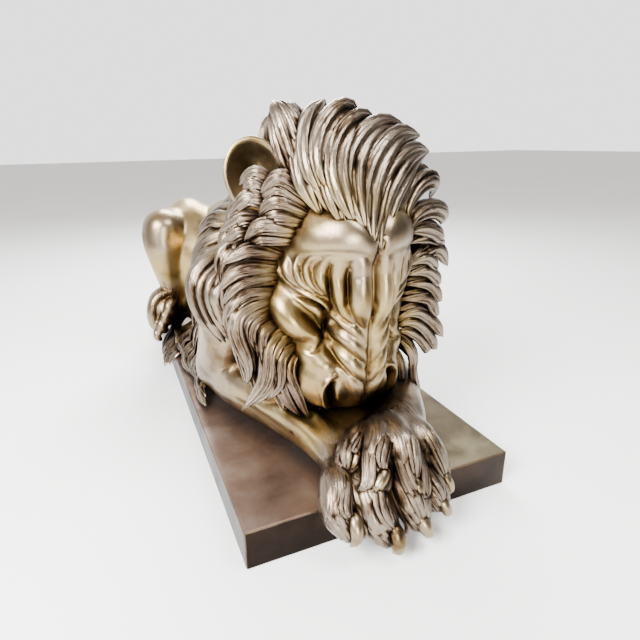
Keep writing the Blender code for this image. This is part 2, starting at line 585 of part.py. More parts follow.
def ruff(clay, form):
    """Locks round the face, first on the lion's right, then on its left."""
    hair = Hair(clay, form)
    forward = (-0.4, -0.9, 0.1)
    leftward = (0.3, -0.9, 0.2)
    # temple, upper cheek, lower cheek, and two ranks under the cheek
    hair.row([(-1.05, 1.75, 7.15), (-1.5, 1.9, 6.75), (-1.85, 2.2, 6.25), (-2.1, 2.6, 5.8)],
             [(-2.1, 2.5, 7.7), (-2.6, 2.6, 7.05), (-2.85, 2.8, 6.4), (-3.0, 3.0, 5.75)],
             7, 0.34, bow=0.2, hook=0.22, hug=0, face=(-0.5, -0.7, 0.5), stray=0.05, leaf=WAVE)
    hair.row([(-2.1, 2.9, 5.9), (-2.25, 3.0, 5.2), (-2.1, 3.0, 4.5)],
             [(-3.25, 2.9, 5.5), (-3.45, 2.9, 4.7), (-3.2, 2.8, 3.6)],
             6, 0.34, bow=0.3, hook=0.15, hug=0, face=forward, stray=0.05, leaf=WAVE)
    hair.row([(-2.1, 2.9, 4.5), (-1.95, 2.9, 3.9), (-1.65, 2.9, 3.3)],
             [(-3.15, 2.7, 3.0), (-2.95, 2.6, 2.2), (-2.75, 2.6, 1.7)],
             6, 0.32, bow=0.3, sway=0.08, hug=0, face=forward, stray=0.05)
    hair.row([(-1.75, 2.75, 3.5), (-1.5, 2.7, 3.0), (-1.4, 2.6, 2.5), (-1.3, 2.6, 2.0)],
             [(-2.9, 2.6, 2.2), (-2.85, 2.5, 1.5), (-2.3, 2.4, 1.1), (-1.6, 2.4, 0.95)],
             6, 0.32, bow=0.16, sway=-0.12, hug=0, face=forward, stray=0.05)
    hair.row([(-1.6, 3.1, 2.7), (-1.3, 3.0, 2.1)], [(-3.05, 2.8, 1.3), (-2.0, 2.6, 0.85)],
             4, 0.32, bow=0.12, sway=0.1, hug=0, face=forward, stray=0.05)
    # the left side of the face
    hair.row([(0.4, 1.2, 6.1), (0.9, 1.5, 6.2), (1.4, 1.9, 5.9), (1.75, 2.2, 5.3)],
             [(2.25, 2.4, 7.3), (2.45, 2.5, 6.7), (2.65, 2.5, 6.0), (2.85, 2.5, 5.2)],
             6, 0.36, bow=-0.2, hook=-0.15, hug=0, face=leftward, stray=0.05, leaf=WAVE)
    hair.row([(1.85, 2.6, 6.3), (2.0, 2.7, 5.4), (2.0, 2.7, 4.4), (1.8, 2.7, 3.4)],
             [(2.75, 2.7, 7.2), (2.95, 2.6, 6.0), (3.05, 2.6, 4.8), (3.0, 2.6, 3.5)],
             6, 0.4, bow=-0.12, sway=-0.1, hook=-0.25, hug=0, face=leftward, stray=0.05, gather=0, leaf=WAVE)
    hair.row([(1.7, 2.3, 5.2), (1.75, 2.4, 4.3), (1.6, 2.5, 3.4)],
             [(2.9, 2.5, 4.4), (2.95, 2.5, 3.3), (2.9, 2.5, 2.6)],
             6, 0.33, bow=-0.25, hook=-0.1, hug=0, face=leftward, stray=0.05, leaf=WAVE)
    hair.row([(1.55, 2.7, 4.0), (1.4, 2.6, 3.3), (1.1, 2.6, 2.5)],
             [(2.8, 2.5, 2.3), (2.3, 2.5, 1.8), (1.7, 2.4, 1.2)],
             5, 0.3, bow=-0.2, sway=-0.1, hug=0, face=leftward, stray=0.05)


SHOULDER_LOCKS = [
    ([(-2.7, 4.0, 7.1), (-3.3, 4.0, 6.1), (-3.55, 3.9, 5.0), (-3.5, 3.8, 4.0), (-3.35, 3.6, 3.1)], 0.36),
    ([(-2.6, 3.6, 6.9), (-3.1, 3.5, 6.1), (-3.4, 3.4, 5.0), (-3.4, 3.3, 4.2), (-3.25, 3.2, 3.4)], 0.34),
    ([(-2.4, 3.3, 6.3), (-2.9, 3.1, 5.7), (-3.1, 3.0, 4.8), (-3.05, 2.9, 3.9), (-2.9, 2.9, 3.1)], 0.3),
    ([(-2.3, 3.2, 5.3), (-2.8, 3.0, 4.6), (-2.95, 2.9, 3.6), (-2.85, 2.8, 2.7), (-2.8, 2.7, 1.9)], 0.28),
    ([(-2.6, 4.8, 6.9), (-3.15, 4.9, 5.9), (-3.35, 4.8, 4.6), (-3.25, 4.6, 3.4), (-3.1, 4.4, 2.7)], 0.36),
]


SET_BACK = (0.4, 0.8, 0)


def shoulder(clay, form):
    """Long waved locks from behind the ear down over the shoulder, set back on the lion's left."""
    hair = Hair(clay, form, furrow=0.3)
    for side in (-1, 1):
        for line, half in SHOULDER_LOCKS:
            path = np.array(line) if side < 0 else (np.array(line) + SET_BACK) * (-1, 1, 1)
            hair.lock(spline(path, LOCK_STEPS), half * 1.1, face=(0.5 * side, -0.8, 0.2), hug=0, roll=0.3)


def mane(clay, form):
    hair = Hair(clay, form)
    for side in (-1, 1):
        hair.row(on_side(side, [(-2.0, 3.7, 6.7), (-2.4, 3.9, 5.7), (-2.4, 3.9, 4.6), (-2.1, 3.6, 3.2)]),
                 on_side(side, [(-3.0, 4.0, 6.4), (-3.25, 3.9, 5.0), (-3.15, 3.6, 3.7), (-2.8, 3.4, 2.6)]),
                 7, 0.38, bow=-0.2 * side, hug=0.2)
        hair.row(on_side(side, [(-1.6, 5.0, 7.4), (-2.3, 5.0, 6.4), (-2.6, 5.0, 5.2), (-2.5, 4.8, 4.0)]),
                 on_side(side, [(-2.5, 6.6, 6.6), (-2.9, 6.4, 5.1), (-3.05, 5.7, 3.9), (-2.9, 4.8, 3.2)]),
                 7, 0.42, bow=-0.15 * side, hug=0.8)
        hair.row(on_side(side, [(-1.2, 6.3, 6.6), (-2.0, 6.3, 6.0), (-2.5, 6.3, 5.0)]),
                 on_side(side, [(-1.8, 8.6, 5.6), (-2.7, 8.2, 4.7), (-3.0, 7.6, 3.7)]),
                 5, 0.42, bow=-0.15 * side, hug=0.9)
    hair.row([(-1.6, 4.6, 7.9), (0, 4.6, 8.2), (1.6, 4.6, 7.9)],
             [(-1.6, 6.6, 7.3), (0, 6.8, 7.6), (1.6, 6.6, 7.3)], 5, 0.52, hug=0.5)
    hair.row([(-1.9, 5.8, 6.8), (0, 6.0, 7.1), (1.9, 5.8, 6.8)],
             [(-1.7, 8.2, 5.9), (0, 8.6, 6.2), (1.7, 8.2, 5.9)], 5, 0.5, hug=0.85)


# The tail's tuft spills over the plinth's edge by this many squares, and hangs below its top
TUFT_OVERHANG = 0.38
TUFT_DROP = 0.3
CURLS = [((-3.35, 10.1, 0.4), 0.42), ((-3.0, 9.4, 0.7), 0.38), ((-3.5, 8.7, 0.36), 0.4),
         ((-3.15, 8.1, 0.45), 0.4), ((-3.5, 7.4, 0.3), 0.32)]
CURL_TURNS = 1.2


def fur(clay, form):
    """Beard, fur down the flanks to curls along the plinth, and the tail's tuft."""
    hair = Hair(clay, form)
    hair.row([(-0.9, 2.9, 1.7), (0, 2.9, 1.4), (0.9, 2.9, 1.7)],
             [(-1.0, 2.2, 0.9), (0, 2.0, 1.0), (0.9, 2.2, 1.3)],
             5, 0.24, hug=0, face=(0, -1, 0.2), stray=0.05)
    for side in (-1, 1):
        hair.row(on_side(side, [(-2.3, 8.3, 4.2), (-2.4, 10.0, 3.4), (-2.5, 11.4, 3.1)]),
                 on_side(side, [(-3.15, 7.7, 2.3), (-3.2, 9.0, 1.8), (-3.3, 10.4, 1.4)]),
                 7, 0.3, bow=-0.2 * side, hug=0.5)
        hair.row(on_side(side, [(-2.7, 8.4, 2.4), (-2.8, 9.8, 2.1), (-2.9, 11.2, 1.8)]),
                 on_side(side, [(-3.3, 7.8, 0.7), (-3.45, 9.0, 0.6), (-3.5, 10.4, 0.6)]),
                 7, 0.3, bow=-0.2 * side, hug=0.3)
        for centre, radius in CURLS:
            hair.lock(curl(on_side(side, [centre])[0], radius, side), radius * 0.32,
                      face=(0.8 * side, -0.3, 0.5), hug=0)
    over = -EDGE - TUFT_OVERHANG
    hair.row([(-3.4, 12.8, 0.45), (-3.3, 10.9, 0.35)],
             [(over, 12.1, -0.5 * TUFT_DROP), (over, 10.5, -TUFT_DROP)],
             5, 0.32, bow=0.25, hug=0, face=(-0.5, 0, 0.8), stray=0.05)


def curl(centre, radius, side):
    """A flat spiral that winds inward, seen from the flank."""
    share = np.linspace(0, 1, LOCK_STEPS)
    angle = 2 * pi * CURL_TURNS * share - pi / 2
    wide = radius * (1 - 0.75 * share)
    return np.column_stack([centre[0] - 0.35 * side * wide * np.sin(angle), centre[1] - wide * np.cos(angle),
                            centre[2] + 0.9 * wide * np.sin(angle)])


def masses(*parts):
    clay = Clay()
    for part in parts:
        part(clay)
    return skin(clay, MASS_CELLS, 6)


def build_lion():
    """One closed skin over the torso, the carved head, ears, paws, tail and hair."""
    form = Form(masses(body_masses, forelegs, neck_masses, head_masses))
    clay = clay_of(masses(body_masses, forelegs, neck_masses), carved_head())
    for side in (-1, 1):
        ear(clay, side)
    for part in (paws, hind_feet, tail):
        part(clay)
    for part in (crest, ruff, shoulder, mane, fur):
        part(clay, form)
    return skin(clay, SKIN_CELLS, 1)


# Fit to the plinth
def to_world(mesh):
    """From squares to metres, the figure's grid set on the plinth's top and front edge."""
    mesh.transform(Matrix.Translation((0, -PLINTH_LENGTH / 2, PLINTH_HEIGHT)) @ Matrix.Scale(SQUARE, 4))


def seat_on_plinth(mesh):
    """Take the plinth's block out of the figure, so that it beds on it with the fit's gap."""
    block = bpy.data.meshes.new("block")
    bm = bmesh.new()
    bmesh.ops.create_cube(bm, size=1)
    bm.transform(Matrix.Translation((0, 0, PLINTH_HEIGHT / 2)) @ Matrix.Diagonal(
        (PLINTH_WIDTH + 2 * FIT_GAP, PLINTH_LENGTH + 2 * FIT_GAP, PLINTH_HEIGHT + 2 * FIT_GAP, 1)))
    bm.to_mesh(block)
    bm.free()
    cutter = bpy.data.objects.new("block", block)
    cutter.hide_render = True
    cutter.display_type = "WIRE"
    bpy.context.scene.collection.objects.link(cutter)
    seated = evaluated(mesh, "BOOLEAN", operation="DIFFERENCE", object=cutter, solver="EXACT")
    bpy.data.objects.remove(cutter)
    return seated


def main_body(mesh):
    """The mesh without the crumbs and sealed hollows that a skin can leave."""
    bm = bmesh.new()
    bm.from_mesh(mesh)
    left = set(bm.verts)
    shells = []
    while left:
        front = [left.pop()]
        shell = list(front)
        while front:
            vert = front.pop()
            for edge in vert.link_edges:
                other = edge.other_vert(vert)
                if other in left:
                    left.remove(other)
                    front.append(other)
                    shell.append(other)
        shells.append(shell)
    shells.sort(key=len)
    for shell in shells[:-1]:
        bmesh.ops.delete(bm, geom=shell, context="VERTS")
    bm.to_mesh(mesh)
    bm.free()
    return mesh


def material(name, colour, roughness, metallic):
    mat = bpy.data.materials.new(name)
    mat.use_nodes = True
    shader = mat.node_tree.nodes["Principled BSDF"]
    shader.inputs["Base Color"].default_value = (*colour, 1)
    shader.inputs["Roughness"].default_value = roughness
    shader.inputs["Metallic"].default_value = metallic
    return mat


def build_plinth():
    bm = bmesh.new()
    bmesh.ops.create_cube(bm, size=1)
    bm.transform(Matrix.Translation((0, 0, PLINTH_HEIGHT / 2))
                 @ Matrix.Diagonal((PLINTH_WIDTH, PLINTH_LENGTH, PLINTH_HEIGHT, 1)))
    bmesh.ops.bevel(bm, geom=bm.edges[:], offset=PLINTH_ARRIS, segments=2, profile=0.5, affect="EDGES")
    mesh = bpy.data.meshes.new("plinth")
    bm.to_mesh(mesh)
    bm.free()
    return mesh


def main():
    for old in list(bpy.data.objects):
        bpy.data.objects.remove(old)
    lion_mesh = main_body(build_lion())
    lion_mesh = evaluated(lion_mesh, "DECIMATE", ratio=LION_TRIANGLES / triangles(lion_mesh))
    to_world(lion_mesh)
    lion_mesh = main_body(seat_on_plinth(lion_mesh))
    lion = bpy.data.objects.new("lion", lion_mesh)
    plinth = bpy.data.objects.new("plinth", build_plinth())
    for obj, colour, roughness in ((lion, (0.36, 0.25, 0.13), 0.32), (plinth, (0.22, 0.15, 0.12), 0.38)):
        bpy.context.scene.collection.objects.link(obj)
        obj.data.materials.append(material(obj.name + " bronze", colour, roughness, 1.0))


main()
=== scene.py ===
# %% [markdown]
# # A sleeping lion in cast bronze
# The statue is one hollow bronze casting that lies on a flat bronze plinth.  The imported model
# is loaded first, as a frame that never moves: it says where the plinth and the lion are.
# Everything that follows is measured from it.

# %% Load the frame
import bmesh
import bpy
import numpy as np
from math import pi, radians, sqrt
from mathutils import Euler, Matrix, Vector
from mathutils.bvhtree import BVHTree


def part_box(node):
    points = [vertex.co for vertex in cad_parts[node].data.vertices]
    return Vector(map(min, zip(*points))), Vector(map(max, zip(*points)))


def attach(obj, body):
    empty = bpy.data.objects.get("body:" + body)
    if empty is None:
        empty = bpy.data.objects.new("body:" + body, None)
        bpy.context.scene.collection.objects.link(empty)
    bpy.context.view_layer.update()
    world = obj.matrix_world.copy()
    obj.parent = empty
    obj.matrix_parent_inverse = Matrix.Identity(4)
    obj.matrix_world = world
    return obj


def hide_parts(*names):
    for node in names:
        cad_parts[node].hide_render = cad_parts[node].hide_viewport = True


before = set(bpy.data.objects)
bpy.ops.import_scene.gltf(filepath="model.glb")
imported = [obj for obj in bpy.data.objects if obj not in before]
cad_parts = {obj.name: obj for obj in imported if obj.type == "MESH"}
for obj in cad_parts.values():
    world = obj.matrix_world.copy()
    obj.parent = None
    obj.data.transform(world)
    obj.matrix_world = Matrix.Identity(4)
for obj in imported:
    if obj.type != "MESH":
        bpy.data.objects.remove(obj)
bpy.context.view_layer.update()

plinth_low, plinth_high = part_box("plinth")
lion_low, lion_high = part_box("lion")
print("plinth", plinth_low, plinth_high, "lion", lion_low, lion_high)

# %% [markdown]
# ## The sculptor's grid
# A sculptor enlarges a small model by drawing a grid of squares over both.  This lion is laid
# out the same way.  x runs across from the plinth's middle, y runs back from its front edge and
# z runs up from its top, all in squares.  The plinth is 7.6 squares wide, which gives the size
# of a square, and one step at the end takes the finished figure from squares to metres.

# %% The grid
SQUARES_ACROSS = 7.6
SQUARE = (plinth_high.x - plinth_low.x) / SQUARES_ACROSS
TO_WORLD = Matrix.Translation((0, plinth_low.y, plinth_high.z)) @ Matrix.Scale(SQUARE, 4)
SEED = 7
rng = np.random.default_rng(SEED)


def millimetres(length):
    """A length in millimetres, in squares."""
    return length / 1000 / SQUARE


print("one square is", round(SQUARE * 1000, 1), "mm")

# %% [markdown]
# ## The camera
# The photograph looks down on the lion from its right, past its lowered head.  The camera's place,
# in squares, and its turn, in degrees, were found from the plinth's visible corners and edges.
# A place in the photograph lies somewhere on a line of sight from that camera, and one more
# number, how far back it is, settles where.  So hair can be drawn on the photograph itself.

# %% The camera
IMAGE_SIZE = 640
LENS = 27.886
SENSOR = 36
CAMERA_PLACE = (-5.603, -8.866, 8.312)
CAMERA_TURN = (70.107, 0.897, -23.293)

camera_turn = Euler([radians(angle) for angle in CAMERA_TURN]).to_matrix()
lens = bpy.data.cameras.new("camera")
lens.lens = LENS
lens.sensor_width = SENSOR
camera = bpy.data.objects.new("camera", lens)
bpy.context.scene.collection.objects.link(camera)
camera.matrix_world = Matrix.Translation(TO_WORLD @ Vector(CAMERA_PLACE)) @ camera_turn.to_4x4()
bpy.context.scene.camera = camera


def seen(x, y, depth):
    """The place that shows at pixel (x, y) of the photograph and lies depth squares back."""
    middle = IMAGE_SIZE / 2
    way = camera_turn @ Vector((x - middle, middle - y, -LENS / SENSOR * IMAGE_SIZE))
    return np.array(CAMERA_PLACE) + np.array(way) * (depth - CAMERA_PLACE[1]) / way.y


print("the picture's middle, on the plinth's front edge, is at", seen(320, 320, 0).round(2))

# %% [markdown]
# ## Curves through a few points
# Limbs, locks and wrinkles are all drawn as a smooth line through a few points.  A Catmull-Rom
# spline passes through every point it is given, so a line goes just where its maker put it.

# %% Curves
def spline(points, count):
    """Catmull-Rom curve through the rows of points, read at count even steps."""
    p = np.asarray(points, float)
    if p.ndim == 1:
        p = p[:, None]
    p = np.vstack([2 * p[0] - p[1], p, 2 * p[-1] - p[-2]])
    s = np.linspace(0, len(p) - 3 - 1e-9, count)
    i = s.astype(int)
    t = (s - i)[:, None]
    a, b, c, d = p[i], p[i + 1], p[i + 2], p[i + 3]
    return 0.5 * (2 * b + (c - a) * t + (2 * a - 5 * b + 4 * c - d) * t ** 2
                  + (3 * b - a - 3 * c + d) * t ** 3)


def unit(v):
    """Rows of vectors at length one."""
    return v / np.maximum(np.linalg.norm(v, axis=-1, keepdims=True), 1e-9)


def both(side):
    """Multiplier that takes a point on the lion's right to the given side."""
    return np.array([-side, 1, 1])


# %% [markdown]
# ## Clay
# A clay model starts as rough lumps pressed together.  Here the lumps are closed meshes that
# may overlap: ellipsoids for masses of flesh, and tubes swept along a line for limbs.  A voxel
# remesh then draws one skin over all of them, as a thumb would, and a little smoothing takes
# out the seams.

# %% Lumps
class Clay:
    """Closed lumps gathered into one mesh."""

    def __init__(self):
        self.points = []
        self.faces = []
        self.count = 0

    def add(self, points, faces):
        self.points.append(points)
        self.faces.extend([[i + self.count for i in face] for face in faces])
        self.count += len(points)

    def ball(self, centre, radii, lean=0.0):
        """Ellipsoid; lean tips it about x, in degrees."""
        bm = bmesh.new()
        bmesh.ops.create_icosphere(bm, subdivisions=4, radius=1)
        bm.transform(Matrix.Translation(centre) @ Matrix.Rotation(radians(lean), 4, "X")
                     @ Matrix.Diagonal((*radii, 1)))
        self.add(np.array([v.co[:] for v in bm.verts]), [[v.index for v in f.verts] for f in bm.faces])
        bm.free()

    def sweep(self, path, across, through, up=(0, 0, 1), sides=20, steps=24, pointed=False):
        """Tube along a path; across and through are its half widths along it."""
        angle = np.arange(sides) * 2 * pi / sides
        outline = np.column_stack([np.cos(angle), np.sin(angle)])
        line = spline(path, steps)
        wide = spline(across, steps)[:, 0]
        deep = spline(through, steps)[:, 0]
        tangent = unit(np.gradient(line, axis=0))
        if not pointed:
            cap = np.array([0.97, 0.87, 0.5])
            shrink = np.sqrt(1 - cap ** 2)
            line = np.vstack([line[0] - tangent[0] * deep[0] * cap[:, None], line,
                              line[-1] + tangent[-1] * deep[-1] * cap[::-1, None]])
            wide = np.concatenate([wide[0] * shrink, wide, wide[-1] * shrink[::-1]])
            deep = np.concatenate([deep[0] * shrink, deep, deep[-1] * shrink[::-1]])
            tangent = np.vstack([[tangent[0]] * 3, tangent, [tangent[-1]] * 3])
        side = unit(np.cross(tangent, up))
        normal = np.cross(side, tangent)
        rings = (line[:, None] + side[:, None] * outline[None, :, :1] * wide[:, None, None]
                 + normal[:, None] * outline[None, :, 1:] * deep[:, None, None])
        rows = len(rings)
        points = np.vstack([rings.reshape(-1, 3), line[:1], line[-1:]])
        faces = [[r * sides + k, r * sides + (k + 1) % sides, (r + 1) * sides + (k + 1) % sides,
                  (r + 1) * sides + k] for r in range(rows - 1) for k in range(sides)]
        last = (rows - 1) * sides
        faces += [[rows * sides, (k + 1) % sides, k] for k in range(sides)]
        faces += [[rows * sides + 1, last + k, last + (k + 1) % sides] for k in range(sides)]
        self.add(points, faces)

    def mesh(self, name):
        mesh = bpy.data.meshes.new(name)
        mesh.from_pydata(np.vstack(self.points).tolist(), [], self.faces)
        return mesh


# %% Skins
def evaluated(mesh, kind, **settings):
    """The mesh after one modifier."""
    holder = bpy.data.objects.new("skin", mesh)
    bpy.context.scene.collection.objects.link(holder)
    modifier = holder.modifiers.new("step", kind)
    for name, value in settings.items():
        setattr(modifier, name, value)
    graph = bpy.context.evaluated_depsgraph_get()
    result = bpy.data.meshes.new_from_object(holder.evaluated_get(graph))
    bpy.data.objects.remove(holder)
    bpy.data.meshes.remove(mesh)
    return result


def skin(clay, voxel, passes, factor=0.5):
    """One closed skin over all the lumps, softened a little."""
    mesh = evaluated(clay.mesh("skin"), "REMESH", mode="VOXEL", voxel_size=voxel)
    return evaluated(mesh, "SMOOTH", iterations=passes, factor=factor)


def places(mesh, what="co"):
    """The vertices' places, or their normals, as rows of three numbers."""
    values = np.empty(len(mesh.vertices) * 3, np.float32)
    if what == "co":
        mesh.vertices.foreach_get("co", values)
    else:
        mesh.vertex_normals.foreach_get("vector", values)
    return values.reshape(-1, 3).astype(float)


def clay_of(*meshes):
    """Finished skins taken back as lumps."""
    clay = Clay()
    for mesh in meshes:
        clay.add(places(mesh), [list(p.vertices) for p in mesh.polygons])
    return clay


def outward(mesh, place=Matrix()):
    """The mesh moved to its place, with its faces turned outward."""
    bm = bmesh.new()
    bm.from_mesh(mesh)
    bm.transform(place)
    bmesh.ops.recalc_face_normals(bm, faces=bm.faces[:])
    bm.to_mesh(mesh)
    bm.free()
    return mesh


def triangles(mesh):
    """How many triangles the faces come to."""
    return sum(len(p.vertices) - 2 for p in mesh.polygons)


def thinned(mesh, budget):
    """The same skin with about budget triangles, fewest where it is flattest."""
    return evaluated(mesh, "DECIMATE", ratio=min(1, budget / triangles(mesh)))


# %% [markdown]
# ## The masses of the body
# The lion lies on its belly with its hind legs folded under it, the knees high beside the
# flanks.  Its head hangs forward over crossed forelegs.  Each line below is one mass of flesh,
# and the two sides are made by one loop, because only the forelegs differ.

# %% Body masses
def body_masses(clay):
    spine = [(0, 4.6, 4.3), (0, 6.6, 4.2), (0, 9.0, 3.5), (0, 11.4, 3.2), (0, 13.4, 3.6), (0, 15.2, 3.1)]
    clay.sweep(spine, [2.3, 2.5, 2.4, 2.2, 2.4, 1.8], [2.6, 2.5, 2.65, 2.6, 2.55, 2.0])
    clay.ball((0, 9.5, 1.6), (2.5, 4.5, 2.0))
    clay.ball((0, 13.6, 1.5), (3.0, 3.4, 1.9))
    for side in (-1, 1):
        m = both(side)
        clay.ball(m * (-2.2, 6.3, 3.9), (1.2, 1.6, 2.3), lean=12)
        clay.sweep([m * (-2.4, 6.3, 4.2), m * (-2.55, 6.2, 2.6), m * (-2.8, 7.0, 1.0)],
                   [0.95, 0.85, 0.75], [1.45, 1.3, 0.8], up=(0, 1, 0))
        clay.ball(m * (-2.2, 14.0, 3.7), (1.5, 2.3, 2.35), lean=-8)
        clay.sweep([m * (-2.4, 14.2, 3.9), m * (-3.1, 13.2, 4.5), m * (-3.45, 12.7, 4.6)],
                   [1.6, 1.35, 0.95], [1.6, 1.3, 0.95])
        clay.ball(m * (-3.45, 12.7, 5.0), (0.85, 0.9, 0.8))
        clay.sweep([m * (-3.55, 12.6, 4.3), m * (-3.45, 12.8, 3.2), m * (-3.2, 13.3, 1.9)],
                   [0.8, 0.62, 0.5], [0.9, 0.75, 0.6], up=(0, 1, 0))
        clay.ball(m * (-3.3, 14.8, 0.8), (0.6, 1.6, 0.8))


def forelegs(clay):
    """The right leg lies below, its paw over the plinth's edge; the left crosses onto it."""
    clay.sweep([(-2.6, 7.2, 0.95), (-2.25, 5.6, 0.9), (-1.6, 3.9, 0.8), (-1.05, 2.2, 0.62), (-0.7, 1.1, 0.5)],
               [0.8, 0.86, 0.76, 0.66, 0.8], [0.9, 0.9, 0.78, 0.6, 0.48])
    clay.sweep([(-0.65, 1.2, 0.4), (-0.4, 0.3, 0.36), (-0.25, -0.15, 0.2)],
               [0.85, 0.98, 0.95], [0.5, 0.48, 0.4])
    clay.sweep([(2.65, 7.1, 0.9), (2.5, 5.4, 0.9), (2.15, 3.6, 0.95), (1.5, 2.0, 1.05), (0.95, 1.1, 1.15)],
               [0.8, 0.84, 0.74, 0.66, 0.72], [0.9, 0.9, 0.85, 0.72, 0.58])
    clay.sweep([(0.95, 1.3, 1.12), (0.5, 0.6, 1.1), (0.3, 0.2, 0.95)], [0.75, 0.92, 0.9], [0.56, 0.5, 0.42])
    clay.ball((0.2, 2.6, 0.5), (1.5, 1.6, 0.9))


def neck_masses(clay):
    clay.ball((0, 5.0, 5.2), (2.5, 2.2, 2.8))
    clay.ball((0, 5.0, 3.0), (2.2, 2.0, 2.5))
    clay.ball((0, 4.1, 1.4), (1.6, 1.7, 1.5))
    clay.ball((-1.5, 3.9, 2.5), (1.1, 1.2, 1.7))
    clay.ball((0, 4.0, 7.1), (1.5, 1.5, 1.3))
    clay.ball((0, 6.8, 5.0), (2.1, 2.4, 1.8))


def head_masses(clay):
    clay.ball((0, 3.4, 5.3), (2.05, 2.2, 2.2))
    clay.ball((0, 2.75, 6.1), (1.75, 1.95, 1.35))
    clay.sweep([(0, 2.3, 5.6), (0, 2.1, 4.4), (0, 2.1, 3.3), (0, 2.25, 2.3)],
               [0.95, 0.8, 0.7, 0.8], [1.3, 1.05, 0.95, 0.95], up=(0, -1, 0))
    clay.ball((0, 2.45, 1.75), (0.9, 0.85, 0.5))
    for side in (-1, 1):
        m = both(side)
        near = side < 0
        clay.ball(m * (-0.78 if near else -0.62, 2.35, 2.4), (0.88 if near else 0.76, 0.95, 0.95))
        clay.ball(m * (-1.3 if near else -1.0, 2.85, 4.3), (0.75 if near else 0.6, 0.9, 1.1))
        clay.ball(m * (-1.0, 2.9, 3.1), (0.7, 1.1, 0.9))


# %% One skin over the masses
MASS_VOXEL = millimetres(12)


def masses(*parts):
    """One soft skin over the lumps of the given parts."""
    clay = Clay()
    for part in parts:
        part(clay)
    mesh = skin(clay, MASS_VOXEL, 9)
    return evaluated(mesh, "SUBSURF", levels=1, render_levels=1)


class Form:
    """The masses' skin, asked for its nearest place and the way it faces there."""

    def __init__(self, mesh):
        self.tree = BVHTree.FromPolygons([v.co[:] for v in mesh.vertices],
                                         [p.vertices[:] for p in mesh.polygons])

    def near(self, point):
        place, normal, _, _ = self.tree.find_nearest(Vector(point))
        return np.array(place), np.array(normal)


torso = masses(body_masses, forelegs, neck_masses)
form = Form(masses(body_masses, forelegs, neck_masses, head_masses))
print("torso skin", triangles(torso), "triangles")

# %% [markdown]
# ## Carving with lines
# The face is a pattern of long swellings with sharp valleys between them, cut into the wax
# with a loop tool.  Each one is drawn as a line seen from the front, with half widths and
# heights along it.  Every point of the skin takes the highest of the swellings that reach it,
# which leaves the crisp valleys, and then sinks by the deepest crease.

# %% The carving tool
LINE_STEPS = 24
PROFILE_STEPS = 33


def gaps(points, line):
    """Distance of each point to a polyline, and how far along the line it falls, 0 to 1."""
    best = np.full(len(points), np.inf)
    along = np.zeros(len(points))
    for k in range(len(line) - 1):
        a, b = line[k], line[k + 1]
        t = np.clip((points - a) @ (b - a) / max(1e-12, (b - a) @ (b - a)), 0, 1)
        d = np.linalg.norm(points - a - t[:, None] * (b - a), axis=1)
        closer = d < best
        best[closer] = d[closer]
        along[closer] = (k + t[closer]) / (len(line) - 1)
    return best, along


def reading(values, along):
    """Values given from end to end of a line, read at each share of its length."""
    values = spline(values, PROFILE_STEPS)[:, 0]
    return np.interp(along, np.linspace(0, 1, PROFILE_STEPS), values)


def soft_normals(mesh, passes=12):
    """Vertex normals averaged with their neighbours', so that a valley's walls don't cross."""
    normals = places(mesh, "normal")
    ends = np.empty(len(mesh.edges) * 2, np.int32)
    mesh.edges.foreach_get("vertices", ends)
    a, b = ends[::2], ends[1::2]
    for _ in range(passes):
        around = [np.bincount(a, normals[b, k], len(normals)) + np.bincount(b, normals[a, k], len(normals))
                  for k in range(3)]
        normals = unit(normals + np.column_stack(around))
    return normals


def carve(mesh, swells, creases, allowed, axes=(0, 2), edge=1.0):
    """Raise swellings and press creases into a skin where allowed; a high edge fades out softly."""
    points = places(mesh)
    normals = soft_normals(mesh)
    rise = np.zeros(len(points))
    sink = np.zeros(len(points))
    for path, widths, heights in swells:
        line = spline(path, LINE_STEPS)
        near, gap, half, high = reached(points, allowed, line, widths, heights, axes, 1)
        value = high * np.maximum(0, 1 - (gap / half) ** 2) ** edge
        rise[near] = np.maximum(rise[near], value)
    for path, widths, depths in creases:
        line = spline(path, LINE_STEPS)
        near, gap, half, deep = reached(points, allowed, line, widths, depths, axes, 2.2)
        sink[near] = np.maximum(sink[near], deep * np.exp(-(gap / half) ** 2))
    points += normals * (rise - sink)[:, None]
    mesh.vertices.foreach_set("co", points.astype(np.float32).ravel())
    mesh.update()


def reached(points, allowed, line, widths, heights, axes, spread):
    """The points near a drawn line, their distance to it, and its width and height there."""
    reach = np.max(widths) * spread
    flat = points[:, list(axes)]
    inside = allowed & np.all((flat > line.min(0) - reach) & (flat < line.max(0) + reach), axis=1)
    near = np.flatnonzero(inside)
    gap, along = gaps(flat[near], line)
    return near, gap, np.maximum(reading(widths, along), 1e-3), reading(heights, along)


# %% [markdown]
# ## The face
# Half of the face is drawn, at places (x, z), and mirrored.  A sleeping lion's face is all
# rhythm: a low boss on the forehead under an arched crease, a fluted lid below the brow, two long
# petals down to the nose, a heavy cheekbone that ends in a round boss, and chevrons stepping down
# the nose to the nostril.  The lion's left half is drawn narrower, as its head is turned a little.

